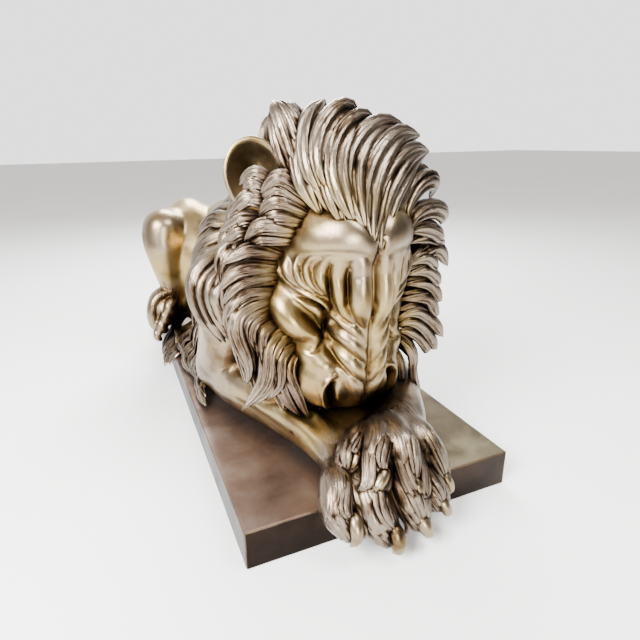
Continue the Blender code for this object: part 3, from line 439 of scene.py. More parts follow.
# %% The drawing of the face
LID_FLUTES = [
    ([(-1.92, 5.52), (-1.88, 5.3), (-1.72, 5.03)], [0.03, 0.07, 0.04], [0, 0.07, 0.03]),
    ([(-1.72, 5.72), (-1.74, 5.45), (-1.66, 5.17), (-1.45, 4.95)],
     [0.03, 0.085, 0.09, 0.04], [0, 0.12, 0.13, 0.04]),
    ([(-1.54, 5.8), (-1.57, 5.45), (-1.48, 5.12), (-1.25, 4.88)],
     [0.03, 0.085, 0.09, 0.04], [0, 0.14, 0.15, 0.05]),
    ([(-1.36, 5.82), (-1.39, 5.45), (-1.3, 5.12), (-1.08, 4.84)],
     [0.03, 0.09, 0.1, 0.05], [0, 0.15, 0.17, 0.06]),
    ([(-1.12, 5.84), (-1.14, 5.45), (-1.09, 5.15), (-0.96, 4.82)],
     [0.04, 0.15, 0.15, 0.06], [0, 0.18, 0.21, 0.07]),
]
BROW_PETALS = [
    ([(-0.88, 5.76), (-0.82, 5.45), (-0.78, 5.15), (-0.7, 4.75), (-0.55, 4.35), (-0.38, 4.05)],
     [0.06, 0.19, 0.21, 0.21, 0.16, 0.05], [0.0, 0.17, 0.25, 0.28, 0.2, 0.02]),
    ([(-0.42, 5.78), (-0.33, 5.5), (-0.29, 5.15), (-0.27, 4.75), (-0.25, 4.4), (-0.16, 4.0)],
     [0.12, 0.28, 0.31, 0.31, 0.26, 0.08], [0.0, 0.2, 0.31, 0.36, 0.3, 0.03]),
]
EYE_FOLDS = [
    ([(-1.68, 4.96), (-1.4, 4.84), (-1.12, 4.7), (-0.96, 4.5), (-0.86, 4.2)],
     [0.04, 0.07, 0.08, 0.08, 0.05], [0.03, 0.1, 0.13, 0.12, 0.04]),
    ([(-1.62, 4.68), (-1.38, 4.55), (-1.13, 4.38), (-1.0, 4.12), (-0.94, 3.8)],
     [0.04, 0.09, 0.1, 0.09, 0.05], [0.03, 0.12, 0.14, 0.12, 0.04]),
]
CHEEKBONE = [
    ([(-2.2, 5.25), (-2.1, 4.7), (-1.85, 4.25), (-1.52, 3.88), (-1.22, 3.66)],
     [0.3, 0.36, 0.38, 0.36, 0.32], [0.06, 0.18, 0.24, 0.27, 0.27]),
    ([(-1.25, 3.15), (-1.05, 3.0)], [0.4, 0.36], [0.14, 0.14]),
]
NOSE_CHEVRONS = [
    ([(-0.82, 4.3), (-0.62, 4.12), (-0.4, 3.9), (-0.14, 3.5)],
     [0.06, 0.11, 0.13, 0.07], [0.04, 0.12, 0.13, 0.02]),
    ([(-0.78, 3.96), (-0.58, 3.76), (-0.35, 3.46), (-0.08, 3.0)],
     [0.1, 0.18, 0.19, 0.09], [0.05, 0.19, 0.19, 0.03]),
    ([(-0.77, 3.4), (-0.52, 3.14), (-0.29, 2.8), (-0.05, 2.4)],
     [0.13, 0.21, 0.21, 0.1], [0.06, 0.2, 0.2, 0.04]),
    ([(-0.7, 2.86), (-0.5, 2.62), (-0.3, 2.32), (-0.1, 1.9)],
     [0.13, 0.2, 0.21, 0.12], [0.06, 0.17, 0.18, 0.04]),
]
NOSE_RIM = [
    ([(-0.72, 2.74), (-0.98, 2.62), (-1.13, 2.28), (-1.07, 1.92), (-0.86, 1.58), (-0.5, 1.32), (0.0, 1.22)],
     [0.06, 0.1, 0.1, 0.09, 0.08, 0.08, 0.08], [0.04, 0.1, 0.12, 0.1, 0.08, 0.07, 0.06]),
]
FOREHEAD_BOSS = [
    ([(-1.15, 6.15), (-0.75, 6.25), (-0.35, 6.1)], [0.55, 0.7, 0.5], [0.04, 0.06, 0.04]),
]
FACE_CREASES = [
    # the arch above the flutes and petals, and the arc round the boss of the forehead
    ([(-0.08, 5.6), (-0.35, 5.84), (-0.75, 5.9), (-1.15, 5.9), (-1.6, 5.8)],
     [0.06, 0.08, 0.09, 0.08, 0.06], [0.01, 0.035, 0.045, 0.045, 0.02]),
    ([(-1.35, 6.6), (-1.0, 6.88), (-0.6, 6.86), (-0.25, 6.55), (-0.06, 6.1), (-0.02, 5.6)],
     [0.12, 0.15, 0.15, 0.14, 0.12, 0.09], [0.01, 0.04, 0.06, 0.07, 0.06, 0.03]),
    # between the petals and beside the outer one
    ([(-0.62, 5.7), (-0.58, 5.4), (-0.55, 5.05), (-0.53, 4.75), (-0.46, 4.45), (-0.36, 4.15)],
     [0.03, 0.05, 0.055, 0.055, 0.05, 0.03], [0.02, 0.05, 0.07, 0.07, 0.06, 0.02]),
    ([(-0.98, 5.6), (-0.97, 5.3), (-0.94, 5.0), (-0.87, 4.7), (-0.7, 4.38), (-0.48, 4.1)],
     [0.035, 0.05, 0.055, 0.055, 0.05, 0.03], [0.03, 0.1, 0.12, 0.13, 0.1, 0.03]),
    # the closed eye, the crease under the boss of the cheek, the nostril
    ([(-1.64, 4.8), (-1.38, 4.69), (-1.12, 4.58), (-0.96, 4.35), (-0.9, 4.08), (-0.88, 3.75), (-0.93, 3.45)],
     [0.03, 0.045, 0.05, 0.05, 0.045, 0.04, 0.03], [0.02, 0.1, 0.14, 0.14, 0.12, 0.09, 0.03]),
    ([(-1.5, 3.28), (-1.3, 3.3), (-1.12, 3.36), (-0.94, 3.5)], [0.05, 0.06, 0.06, 0.04],
     [0.01, 0.07, 0.1, 0.06]),
    ([(-0.88, 2.5), (-0.97, 2.28), (-0.92, 1.98), (-0.75, 1.68), (-0.5, 1.46)],
     [0.1, 0.12, 0.11, 0.08, 0.05], [0.2, 0.38, 0.36, 0.22, 0.08]),
]
MIDDLE_LINE = ([(0.08, 6.5), (0.08, 5.8), (0.04, 5.0), (0, 4.2), (0, 3.0), (0, 1.75)],
               [0.12, 0.13, 0.12, 0.09, 0.07, 0.06], [0.04, 0.15, 0.17, 0.13, 0.09, 0.06])
EYE_HOLLOWS = [
    ([(-1.6, 4.42), (-1.35, 4.25), (-1.12, 4.05), (-0.98, 3.85)], [0.16, 0.18, 0.17, 0.13],
     [0.04, 0.09, 0.09, 0.05]),
]
FACE_BACK = 3.6
FAR_HALF = 0.9


def both_halves(lines, far_height=1.0):
    """The lines, and their mirror image drawn narrower, as the head is turned a little."""
    far = [([(-x * FAR_HALF, z) for x, z in path], widths, np.array(heights) * far_height)
           for path, widths, heights in lines]
    return lines + far


# %% Carve the face
HEAD_VOXEL = millimetres(6)
FACE_VOXEL = millimetres(3.2)


def front_of(mesh):
    """The skin that faces forward, where the face may be carved."""
    return (places(mesh, "normal")[:, 1] < 0.25) & (places(mesh)[:, 1] < FACE_BACK)


def carved_head():
    """The head by itself, on a finer skin, with its face carved in."""
    clay = Clay()
    head_masses(clay)
    mesh = skin(clay, HEAD_VOXEL, 24)
    carve(mesh, both_halves(CHEEKBONE + FOREHEAD_BOSS, 0.5), both_halves(EYE_HOLLOWS), front_of(mesh),
          edge=1.4)
    mesh = evaluated(mesh, "REMESH", mode="VOXEL", voxel_size=FACE_VOXEL)
    mesh = evaluated(mesh, "SMOOTH", iterations=3, factor=0.5)
    swells = LID_FLUTES + BROW_PETALS + EYE_FOLDS + NOSE_CHEVRONS + NOSE_RIM
    carve(mesh, both_halves(swells, 0.8), both_halves(FACE_CREASES) + [MIDDLE_LINE], front_of(mesh))
    return evaluated(mesh, "SMOOTH", iterations=1, factor=0.4)


head = carved_head()
print("head skin", triangles(head), "triangles")

# %% [markdown]
# ## Ears
# Each ear is a thick open cup with a broad rounded outline.  Its bowl is a set of rings inside
# a drawn outline, given a wall and then subdivided, and its foot is lost in the mane.

# %% Ears
EAR_OUTLINE = [(0.95, -0.75), (0.72, 0.02), (0.45, 0.6), (-0.02, 0.84), (-0.5, 0.68), (-0.76, 0.15),
               (-0.68, -0.45), (-0.3, -0.95), (0.4, -1.1)]
EAR_RINGS = 5
EAR_SIDES = 28
EAR_WALL = 0.15
EAR_BOWL = 0.75
EAR_PLACE = (2.12, 3.2, 7.62)
EAR_TURN = 0.35
EAR_TIP = 0.12


def ear(side):
    outline = spline(EAR_OUTLINE + EAR_OUTLINE[:1], EAR_SIDES + 1)[:-1]
    points = [(0, EAR_BOWL, -0.1)]
    for r in range(1, EAR_RINGS + 1):
        share = r / EAR_RINGS
        points += [(a * share, EAR_BOWL * (1 - share ** 2), b * share) for a, b in outline]
    faces = [(0, 1 + k, 1 + (k + 1) % EAR_SIDES) for k in range(EAR_SIDES)]
    for r in range(EAR_RINGS - 1):
        first = 1 + r * EAR_SIDES
        faces += [(first + k, first + EAR_SIDES + k, first + EAR_SIDES + (k + 1) % EAR_SIDES,
                   first + (k + 1) % EAR_SIDES) for k in range(EAR_SIDES)]
    mesh = bpy.data.meshes.new("ear")
    mesh.from_pydata([(-side * a, depth, b) for a, depth, b in points], [], faces)
    mesh = evaluated(mesh, "SOLIDIFY", thickness=EAR_WALL, offset=0)
    mesh = evaluated(mesh, "SUBSURF", levels=1, render_levels=1)
    x, y, z = EAR_PLACE
    return outward(mesh, Matrix.Translation((side * x, y, z)) @ Matrix.Rotation(side * EAR_TURN, 4, "Z")
                   @ Matrix.Rotation(-EAR_TIP, 4, "X"))


ears = [ear(side) for side in (-1, 1)]
print("ears", [triangles(mesh) for mesh in ears], "triangles")

# %% [markdown]
# ## Paws
# A toe is bent at its knuckle, and an almond-shaped claw comes out of the fur at its end.  The
# right paw hangs over the plinth's front edge and the left one lies across it.

# %% Paws
TOES = [
    # the right paw, from its outer toe inward: the toe's line, its radius, the claw's line and half width
    ([(-1.0, 0.9, 0.45), (-1.45, 0.1, 0.48), (-1.62, -0.35, 0.15), (-1.5, -0.55, -0.15)], 0.42,
     [(-1.4, -0.8, 0.15), (-1.44, -0.98, -0.15), (-1.52, -0.85, -0.5)], 0.17),
    ([(-0.6, 0.7, 0.5), (-0.8, -0.2, 0.45), (-0.8, -0.68, 0.0), (-0.68, -0.8, -0.35)], 0.45,
     [(-0.5, -1.08, -0.25), (-0.47, -1.22, -0.6), (-0.52, -1.08, -0.88)], 0.2),
    ([(0.1, 0.7, 0.5), (0.1, -0.2, 0.42), (0.18, -0.65, 0.0), (0.24, -0.76, -0.3)], 0.42,
     [(0.26, -1.04, -0.25), (0.38, -1.16, -0.52), (0.5, -1.02, -0.82)], 0.18),
    ([(0.6, 0.8, 0.5), (0.75, -0.1, 0.38), (0.9, -0.5, 0.05), (0.98, -0.58, -0.18)], 0.37,
     [(1.0, -0.82, -0.12), (1.1, -0.92, -0.36), (1.2, -0.78, -0.62)], 0.15),
    # the left paw, which lies on it
    ([(-0.2, 1.0, 1.15), (-0.6, 0.7, 1.2), (-0.92, 0.45, 1.02), (-1.05, 0.34, 0.84)], 0.34,
     [(-0.82, 0.2, 1.16), (-0.98, 0.08, 0.96), (-1.16, 0.12, 0.74)], 0.13),
    ([(0.1, 0.9, 1.3), (-0.25, 0.25, 1.32), (-0.52, -0.1, 1.0), (-0.7, -0.2, 0.76)], 0.37,
     [(-0.46, -0.44, 0.92), (-0.72, -0.58, 0.72), (-0.98, -0.46, 0.52)], 0.17),
    ([(0.45, 0.8, 1.36), (0.3, 0.05, 1.32), (0.3, -0.3, 0.9), (0.32, -0.4, 0.6)], 0.37,
     [(0.28, -0.66, 0.6), (0.34, -0.78, 0.32), (0.42, -0.64, 0.02)], 0.16),
    ([(0.95, 0.85, 1.28), (1.0, 0.25, 1.12), (1.18, -0.08, 0.65), (1.28, -0.18, 0.3)], 0.37,
     [(1.36, -0.42, 0.2), (1.46, -0.5, -0.08), (1.56, -0.36, -0.4)], 0.15),
]


HIND_TOES = 4
CLAW_FUR = 0.7


def paws(clay):
    for line, radius, _, _ in TOES:
        plump = np.array([0.9, 1.05, 1.05, 0.85]) * radius
        clay.sweep(line, plump, plump, up=(0, -0.4, 1))


def claws():
    """Almond claws as lumps of their own, so that their edges stay crisp."""
    clay = Clay()
    for _, _, line, half in TOES:
        start = np.array(line[0]) + (np.array(line[0]) - line[1]) * 0.5 + (0, 0.12, 0)
        clay.sweep([start] + line, [0.05, half, half * 0.95, 0.03], [0.05, half, half * 0.9, 0.03],
                   up=(1, 0, 0), sides=14, steps=12, pointed=True)
    mesh = outward(clay.mesh("claws"))
    darkness = [CLAW_FUR] * len(mesh.vertices)
    mesh.attributes.new("fur", "FLOAT", "POINT").data.foreach_set("value", darkness)
    return mesh


def hind_feet(clay):
    """Feet drawn up beside the rump, the toes curled under an arched instep."""
    for side in (-1, 1):
        m = both(side)
        clay.sweep([m * (-3.4, 14.6, 0.6), m * (-3.55, 13.7, 1.1), m * (-3.8, 13.0, 1.5)],
                   [0.45, 0.6, 0.55], [0.5, 0.7, 0.75])
        clay.sweep([m * (-3.1, 13.0, 2.0), m * (-3.65, 12.8, 2.25), m * (-4.12, 12.7, 2.1),
                    m * (-4.38, 12.6, 1.55), m * (-4.32, 12.6, 0.9), m * (-4.0, 12.7, 0.6)],
                   [0.2, 0.24, 0.22, 0.2, 0.22, 0.2], [0.35, 0.4, 0.38, 0.35, 0.3, 0.25], up=(0, 1, 0))
        for k in range(HIND_TOES):
            x = -3.45 - 0.2 * k
            z = 1.9 - 0.38 * k
            clay.sweep([m * (x + 0.25, 13.0, z), m * (x - 0.1, 12.4, z), m * (x - 0.25, 12.2, z - 0.25),
                        m * (x - 0.15, 12.3, z - 0.45)], [0.18, 0.2, 0.18, 0.12], [0.18, 0.2, 0.18, 0.12],
                       up=(0, 1, 1))


def tail(clay):
    """From the rump forward along the plinth."""
    clay.sweep([(-0.6, 16.4, 2.4), (-2.2, 16.9, 0.9), (-3.2, 16.2, 0.35), (-3.4, 14.4, 0.3),
                (-3.3, 12.6, 0.28), (-3.35, 11.6, 0.28)],
               [0.45, 0.36, 0.3, 0.28, 0.28, 0.3], [0.45, 0.36, 0.3, 0.28, 0.26, 0.28])


# %% [markdown]
# ## Tendons and engraved fur
# Long tendons show under the skin of the forelegs.  They are carved as the face is, but drawn
# from above.  Skin near a toe is cut with fur.  The mesh only stores how furry each place is, and
# where it lies across and along its toe, and the bronze draws the hairs from that.

# %% Tendons of the forelegs
TENDONS = [
    # seen from above, places (x, y)
    ([(-3.05, 6.3), (-2.7, 5.0), (-2.15, 3.6), (-1.55, 2.2), (-1.3, 1.3)],
     [0.14, 0.2, 0.2, 0.17, 0.1], [0, 0.07, 0.08, 0.08, 0]),
    ([(-2.5, 6.7), (-2.2, 5.2), (-1.7, 3.8), (-1.1, 2.3), (-0.85, 1.4)],
     [0.16, 0.24, 0.22, 0.17, 0.1], [0, 0.08, 0.09, 0.08, 0]),
    ([(-1.95, 5.6), (-1.75, 4.7), (-1.25, 3.5), (-0.7, 2.2)],
     [0.12, 0.18, 0.16, 0.1], [0, 0.06, 0.07, 0]),
    ([(2.9, 6.0), (2.6, 4.4), (2.05, 2.6), (1.5, 1.6)],
     [0.14, 0.2, 0.17, 0.1], [0, 0.08, 0.08, 0]),
    ([(2.3, 6.2), (2.1, 4.4), (1.5, 2.5), (0.95, 1.5)],
     [0.14, 0.22, 0.18, 0.1], [0, 0.08, 0.08, 0]),
]
print(len(TENDONS), "tendons")

# %% Fur engraved in the paws
FUR_REACH = 1.9
FUR_FADE = 0.5
TOE_STEPS = 10
HIND_FUR = 0.75
HIND_OUT = 3.2
HIND_BACK = 11.8
HIND_TOP = 2.6


def engraved(mesh):
    """Skin near a toe is fur: how much so, and where it lies across and along that toe."""
    points = places(mesh)
    nearest = np.full(len(points), np.inf)
    values = {key: np.zeros(len(points)) for key in ("across", "along", "fur")}
    for line, radius, _, _ in TOES:
        line = spline(line, TOE_STEPS)
        gap, along = gaps(points, line)
        side = unit(np.cross(line[-1] - line[0], (0, -0.8, 0.6)))
        closer = gap / radius < nearest
        nearest[closer] = (gap / radius)[closer]
        values["along"][closer] = along[closer]
        values["across"][closer] = (0.5 + 0.35 * ((points - line[0]) @ side) / radius)[closer]
    values["fur"] = np.clip((FUR_REACH - nearest) / FUR_FADE, 0, 1)
    # the hind feet keep the same dark coat
    hind = (np.abs(points[:, 0]) > HIND_OUT) & (points[:, 1] > HIND_BACK) & (points[:, 2] < HIND_TOP)
    values["fur"][hind] = HIND_FUR
    for key, value in values.items():
        mesh.attributes.new(key, "FLOAT", "POINT").data.foreach_set("value", value.astype(np.float32))


# %% [markdown]
# ## The body's skin
# The paws, hind feet and tail are pressed onto the torso, and one fine skin is drawn over them
# all.  It is thinned where it is flat, which keeps its triangles for the toes.

# %% One skin over torso, legs, paws and tail
BODY_VOXEL = millimetres(4)
BODY_BUDGET = 24000
FORELEG_TOP = 2.2


def finished_body():
    clay = clay_of(torso)
    for part in (paws, hind_feet, tail):
        part(clay)
    mesh = skin(clay, BODY_VOXEL, 2)
    upper_side = (places(mesh, "normal")[:, 2] > 0.1) & (places(mesh)[:, 2] < FORELEG_TOP)
    carve(mesh, TENDONS, [], upper_side, axes=(0, 1), edge=1.3)
    return mesh


whole_body = finished_body()
body_form = Form(whole_body)
body = thinned(whole_body, BODY_BUDGET)
engraved(body)
print("body skin", triangles(body), "triangles")

# %% [markdown]
# ## One helper for every node tree
# Geometry and materials are both drawn as trees of nodes.  This one function adds a node, sets
# its options, and fills or links its inputs.

# %% The node helper
def node(tree, kind, inputs=None, **options):
    """Add a node.  An input takes a plain value, or the node or socket that feeds it."""
    made = tree.nodes.new(kind)
    for name, value in options.items():
        setattr(made, name, value)
    for key, value in (inputs or {}).items():
        if isinstance(value, bpy.types.Node):
            tree.links.new(value.outputs[0], made.inputs[key])
        elif isinstance(value, bpy.types.NodeSocket):
            tree.links.new(value, made.inputs[key])
        else:
            made.inputs[key].default_value = value
    return made


# %% [markdown]
# ## A lock of hair as a Geometry Nodes tree
# The mane is some three hundred locks, and every one follows the same rule: a leaf shape swept
# along a line, flat below and arched above, the arch parted into strands by sharp furrows.
# A rule that repeats belongs in Geometry Nodes.  The guides carry a half width and the way the
# lock faces at each point.  The tree turns them into curves, draws the section point by point
# from its index, and sweeps it.  It also stores how far across and along the lock a place is,
# which the bronze later uses for its finest lines.

# %% The lock tree
LOWER_POINTS = 3
POINTS_A_STRAND = 4
UNDERSIDE = 0.3


def lock_tree(finish):
    tree = bpy.data.node_groups.new("lock of hair", "GeometryNodeTree")
    for name, kind, default in (("Guides", "NodeSocketGeometry", None), ("Strands", "NodeSocketInt", 3),
                                ("Furrow", "NodeSocketFloat", 0.4), ("Thickness", "NodeSocketFloat", 0.6)):
        socket = tree.interface.new_socket(name, in_out="INPUT", socket_type=kind)
        if default is not None:
            socket.default_value = default
    tree.interface.new_socket("Locks", in_out="OUTPUT", socket_type="NodeSocketGeometry")
    given = node(tree, "NodeGroupInput").outputs

    # guides become curves that face the way their points say
    half = node(tree, "GeometryNodeInputNamedAttribute", {"Name": "half"}, data_type="FLOAT")
    face = node(tree, "GeometryNodeInputNamedAttribute", {"Name": "face"}, data_type="FLOAT_VECTOR")
    curve = node(tree, "GeometryNodeMeshToCurve", {"Mesh": given["Guides"]})
    along = node(tree, "GeometryNodeSplineParameter")
    curve = node(tree, "GeometryNodeStoreNamedAttribute",
                 {"Geometry": curve, "Name": "along", "Value": along.outputs["Factor"]}, data_type="FLOAT")
    curve = node(tree, "GeometryNodeSetCurveNormal", {"Curve": curve, "Normal": face}, mode="FREE")

    # the section: the first points make the arch, the last three its flat underside
    arch = node(tree, "ShaderNodeMath", {0: given["Strands"], 1: float(POINTS_A_STRAND)},
                operation="MULTIPLY")
    count = node(tree, "ShaderNodeMath", {0: arch, 1: 1.0 + LOWER_POINTS})
    ring = node(tree, "GeometryNodeCurvePrimitiveCircle", {"Resolution": count})
    index = node(tree, "GeometryNodeInputIndex")
    share = node(tree, "ShaderNodeMath", {0: index, 1: arch}, operation="DIVIDE")
    angle = node(tree, "ShaderNodeMath", {0: share, 1: pi}, operation="MULTIPLY")
    over = node(tree, "ShaderNodeMath", {0: angle}, operation="SINE")
    wave = node(tree, "ShaderNodeMath", {0: angle, 1: given["Strands"]}, operation="MULTIPLY")
    wave = node(tree, "ShaderNodeMath", {0: wave}, operation="SINE")
    wave = node(tree, "ShaderNodeMath", {0: wave}, operation="ABSOLUTE")
    wave = node(tree, "ShaderNodeMath", {0: wave}, operation="SQRT")
    depth = node(tree, "ShaderNodeMath", {0: 1.0, 1: wave}, operation="SUBTRACT")
    depth = node(tree, "ShaderNodeMath", {0: depth, 1: given["Furrow"]}, operation="MULTIPLY")
    depth = node(tree, "ShaderNodeMath", {0: 1.0, 1: depth}, operation="SUBTRACT")
    rise = node(tree, "ShaderNodeMath", {0: over, 1: depth}, operation="MULTIPLY")
    width = node(tree, "ShaderNodeMath", {0: angle}, operation="COSINE")
    past = node(tree, "ShaderNodeMath", {0: index, 1: arch}, operation="SUBTRACT")
    lower = node(tree, "ShaderNodeMath", {0: past, 1: 2.0 / (LOWER_POINTS + 1)}, operation="MULTIPLY")
    lower = node(tree, "ShaderNodeMath", {0: lower, 1: 1.0}, operation="SUBTRACT")
    below = node(tree, "ShaderNodeMath", {0: index, 1: arch}, operation="GREATER_THAN")
    across = node(tree, "GeometryNodeSwitch", {"Switch": below, "False": width, "True": lower},
                  input_type="FLOAT")
    rise = node(tree, "GeometryNodeSwitch", {"Switch": below, "False": rise, "True": -UNDERSIDE},
                input_type="FLOAT")
    rise = node(tree, "ShaderNodeMath", {0: rise, 1: given["Thickness"]}, operation="MULTIPLY")
    spot = node(tree, "ShaderNodeCombineXYZ", {"X": rise, "Y": across})
    ring = node(tree, "GeometryNodeStoreNamedAttribute",
                {"Geometry": ring.outputs["Curve"], "Name": "across", "Value": share}, data_type="FLOAT")
    ring = node(tree, "GeometryNodeSetPosition", {"Geometry": ring, "Position": spot})

    locks = node(tree, "GeometryNodeCurveToMesh",
                 {"Curve": curve, "Profile Curve": ring, "Scale": half, "Fill Caps": True})
    locks = node(tree, "GeometryNodeFlipFaces", {"Mesh": locks})
    locks = node(tree, "GeometryNodeRealizeInstances", {"Geometry": locks})
    locks = node(tree, "GeometryNodeSetMaterial", {"Geometry": locks, "Material": finish})
    node(tree, "NodeGroupOutput", {0: locks})
    return tree


lion_bronze = bpy.data.materials.new("patinated cast bronze")
LOCK_TREE = lock_tree(lion_bronze)
print("lock tree has", len(LOCK_TREE.nodes), "nodes")

# %% [markdown]
# ## Guides
# A row of locks has its roots along one curve and its tips along another.  Each lock bows to
# one side, sways in an S and hooks at its tip.  It is laid over the form by pulling its points
# towards the nearest place on the masses, and its face turns with them, or it stands free and
# faces a way that is given.

# %% Guides
# how wide a lock is from root to tip: a leaf, and a wave that swells late
LEAF = [0.45, 0.8, 1.0, 1.05, 1.0, 0.85, 0.55, 0.06]
WAVE = [0.12, 0.55, 0.9, 1.0, 1.08, 1.1, 0.85, 0.08]
FINE_STEPS = 60


class Guides:
    """Lines for the locks of one kind."""

    def __init__(self, steps=15, over=form):
        self.steps = steps
        self.over = over
        self.points = []
        self.halves = []
        self.faces = []

    def lock(self, line, half, face=None, hug=1.0, lift=0.25, leaf=LEAF, roll=0.0, fade=0.3, sink=0.5):
        """One lock: its root is sunk in the form, and hug, up to 1, holds the rest to it too."""
        steps = len(line)
        share = np.linspace(0, 1, steps)
        hold = np.maximum(hug, np.clip(1 - share / fade, 0, 1) ** 0.7)
        facing = np.empty_like(line)
        for k in range(steps):
            place, normal = self.over.near(line[k])
            held = place + normal * (0.25 * half * share[k] + lift * hug * np.sin(pi * share[k] * 0.8))
            held -= normal * half * sink * (1 - share[k]) ** (1 / fade)
            line[k] = hold[k] * held + (1 - hold[k]) * line[k]
            given = normal if face is None else np.array(face, float)
            facing[k] = unit(hold[k] * normal + (1 - 0.7 * hold[k]) * given)
        sideways = unit(np.cross(np.gradient(line, axis=0), facing))
        facing = unit(facing + sideways * roll * (1 - hold[:, None]))
        for _ in range(3):
            line[1:-1] = (line[:-2] + 2 * line[1:-1] + line[2:]) / 4
            facing[1:-1] = unit(facing[:-2] + facing[1:-1] + facing[2:])
        self.points.append(line)
        self.halves.append(np.maximum(spline(leaf, steps)[:, 0], 0.03) * half)
        self.faces.append(facing)

    def row(self, roots, tips, count, half, bow=0.15, sway=0.0, hook=0.0, stray=0.08, gather=0.4, **style):
        """Locks side by side, whose tips gather in clumps of two to four."""
        starts = spline(roots, count)
        ends = spline(tips, count)
        u = np.linspace(0, 1, self.steps)[:, None]
        first = 0
        while first < count:
            clump = range(first, min(count, first + int(rng.integers(2, 5))))
            first = clump.stop
            centre = ends[clump.start:clump.stop].mean(axis=0) + rng.normal(0, stray, 3)
            swing = 1 + rng.uniform(-0.35, 0.35)
            for k in clump:
                root = starts[k] + rng.normal(0, stray * 0.3, 3)
                tip = ends[k] + gather * (centre - ends[k]) + rng.normal(0, stray * 0.5, 3)
                chord = (tip - root) * (1 + rng.uniform(-0.12, 0.12))
                facing = style.get("face")
                if facing is None:
                    facing = self.over.near((root + tip) / 2)[1]
                side = unit(np.cross(chord, facing)) * np.linalg.norm(chord) * swing
                bend = bow * np.sin(pi * u) + sway * np.sin(2 * pi * u) - hook * u ** 4
                self.lock(root + chord * u + side * bend, half * (1 + rng.uniform(-0.3, 0.3)), **style)

    def drawn(self, lines, strays=2, spread=0.14, **style):
        """Locks along drawn lines, with thinner and shorter ones close beside each of them."""
        u = np.linspace(0, 1, self.steps)
        fine = np.linspace(0, 1, FINE_STEPS)
        for line, half in lines:
            path = spline(line, FINE_STEPS)
            self.lock(spline(line, self.steps), half, **style)
            for k in range(strays):
                reach = rng.uniform(0.72, 0.95)
                beside = np.column_stack([np.interp(u * reach, fine, path[:, a]) for a in range(3)])
                way = unit(np.cross(np.gradient(beside, axis=0), np.array(style["face"], float)))
                shift = (1 if k % 2 else -1) * spread * rng.uniform(0.7, 1.3)
                beside += way * shift * (1 - 0.5 * u[:, None]) + [0, 0.05, 0]
                self.lock(beside, half * rng.uniform(0.6, 0.85), **style)

    def swept(self, strands, furrow, thickness):
        """The locks as one plain mesh, made by the tree."""
        steps = [len(line) for line in self.points]
        ends = np.cumsum(steps)
        edges = [(i, i + 1) for end, step in zip(ends, steps) for i in range(end - step, end - 1)]
        mesh = bpy.data.meshes.new("guides")
        mesh.from_pydata(np.vstack(self.points).tolist(), edges, [])
        mesh.attributes.new("half", "FLOAT", "POINT").data.foreach_set(
            "value", np.concatenate(self.halves).astype(np.float32))
        mesh.attributes.new("face", "FLOAT_VECTOR", "POINT").data.foreach_set(
            "vector", np.vstack(self.faces).astype(np.float32).ravel())
        holder = bpy.data.objects.new("locks", mesh)
        bpy.context.scene.collection.objects.link(holder)
        modifier = holder.modifiers.new("lock", "NODES")
        modifier.node_group = LOCK_TREE
        settings = {"Strands": strands, "Furrow": furrow, "Thickness": thickness}
        for item in LOCK_TREE.interface.items_tree:
            if item.item_type == "SOCKET" and item.name in settings:
                modifier[item.identifier] = settings[item.name]
        graph = bpy.context.evaluated_depsgraph_get()
        swept = bpy.data.meshes.new_from_object(holder.evaluated_get(graph))
        bpy.data.objects.remove(holder)
        return swept


def on_side(side, points):
    """Points of the lion's right, or their mirror image on its left."""
    return points if side < 0 else [(-x, y, z) for x, y, z in points]


def traced(locks):
    """Drawn lines and half widths of locks that are given as pixels, depths and half widths.

    The depths are spread evenly from root to tip.  A root that others hide is given in squares.
    """
    drawn = []
    for pixels, depths, half, *root in locks:
        depth = np.interp(np.linspace(0, 1, len(pixels)), np.linspace(0, 1, len(depths)), depths)
        drawn.append((root + [seen(x, y, d) for (x, y), d in zip(pixels, depth)], half))
    return drawn


# %% [markdown]
# ## The crest
# From the brow a crest of long broad locks stands up and hooks over to the lion's left, like a
# wave about to break.  The nine locks in front are drawn on the photograph, each with a thinner
# one beside it, and three plain rows stand behind them.

# %% The crest
CREST_LOCKS = [
    ([(320.8, 195.8), (306.7, 173.3), (296.7, 150), (289.2, 125), (280, 106.7),
      (273.3, 100)], (1.7, 2.9), 0.34),
    ([(325, 200), (311.7, 173.3), (303.3, 146.7), (296.7, 120), (291.7, 100)], (1.5, 2.9), 0.36),
    ([(331.7, 203.3), (318.3, 178.3), (313.3, 146.7), (316.7, 120), (325, 99.4)], (1.35, 2.8), 0.42),
    ([(340, 206.7), (328.3, 180), (325, 151.7), (333.3, 128.3), (348.3, 110),
      (356.7, 116.7)], (1.25, 2.7), 0.42),
    ([(351.7, 210), (341.7, 183.3), (340, 156.7), (350, 133.3), (365, 119.2),
      (375.8, 124.2)], (1.15, 2.6), 0.42, (-0.5, 1.05, 6.6)),
    ([(363.3, 215), (355, 190), (356.7, 161.7), (368.3, 140), (385, 125),
      (406.7, 128.3)], (1.1, 2.55), 0.44, (-0.27, 1.0, 6.4)),
    ([(371.7, 223.3), (371.7, 200), (378.3, 171.7), (390, 150), (403.3, 135.8),
      (420, 135.8)], (1.05, 2.45), 0.44, (-0.12, 0.98, 6.15)),
    ([(378.3, 231.7), (383.3, 206.7), (393.3, 180), (406.7, 161.7), (416.7, 153.3),
      (429.2, 151.3)], (1.05, 2.45), 0.42, (0.06, 0.98, 5.95)),
    ([(383.3, 233.3), (391.7, 213.3), (401.7, 193.3), (415, 175),
      (430.8, 171.7)], (1.15, 2.6), 0.36, (0.24, 1.02, 5.85)),
]
# the crest's locks are narrow at the brow and broad above it
BROAD = [0.1, 0.55, 0.95, 1.1, 1.15, 1.0, 0.7, 0.06]


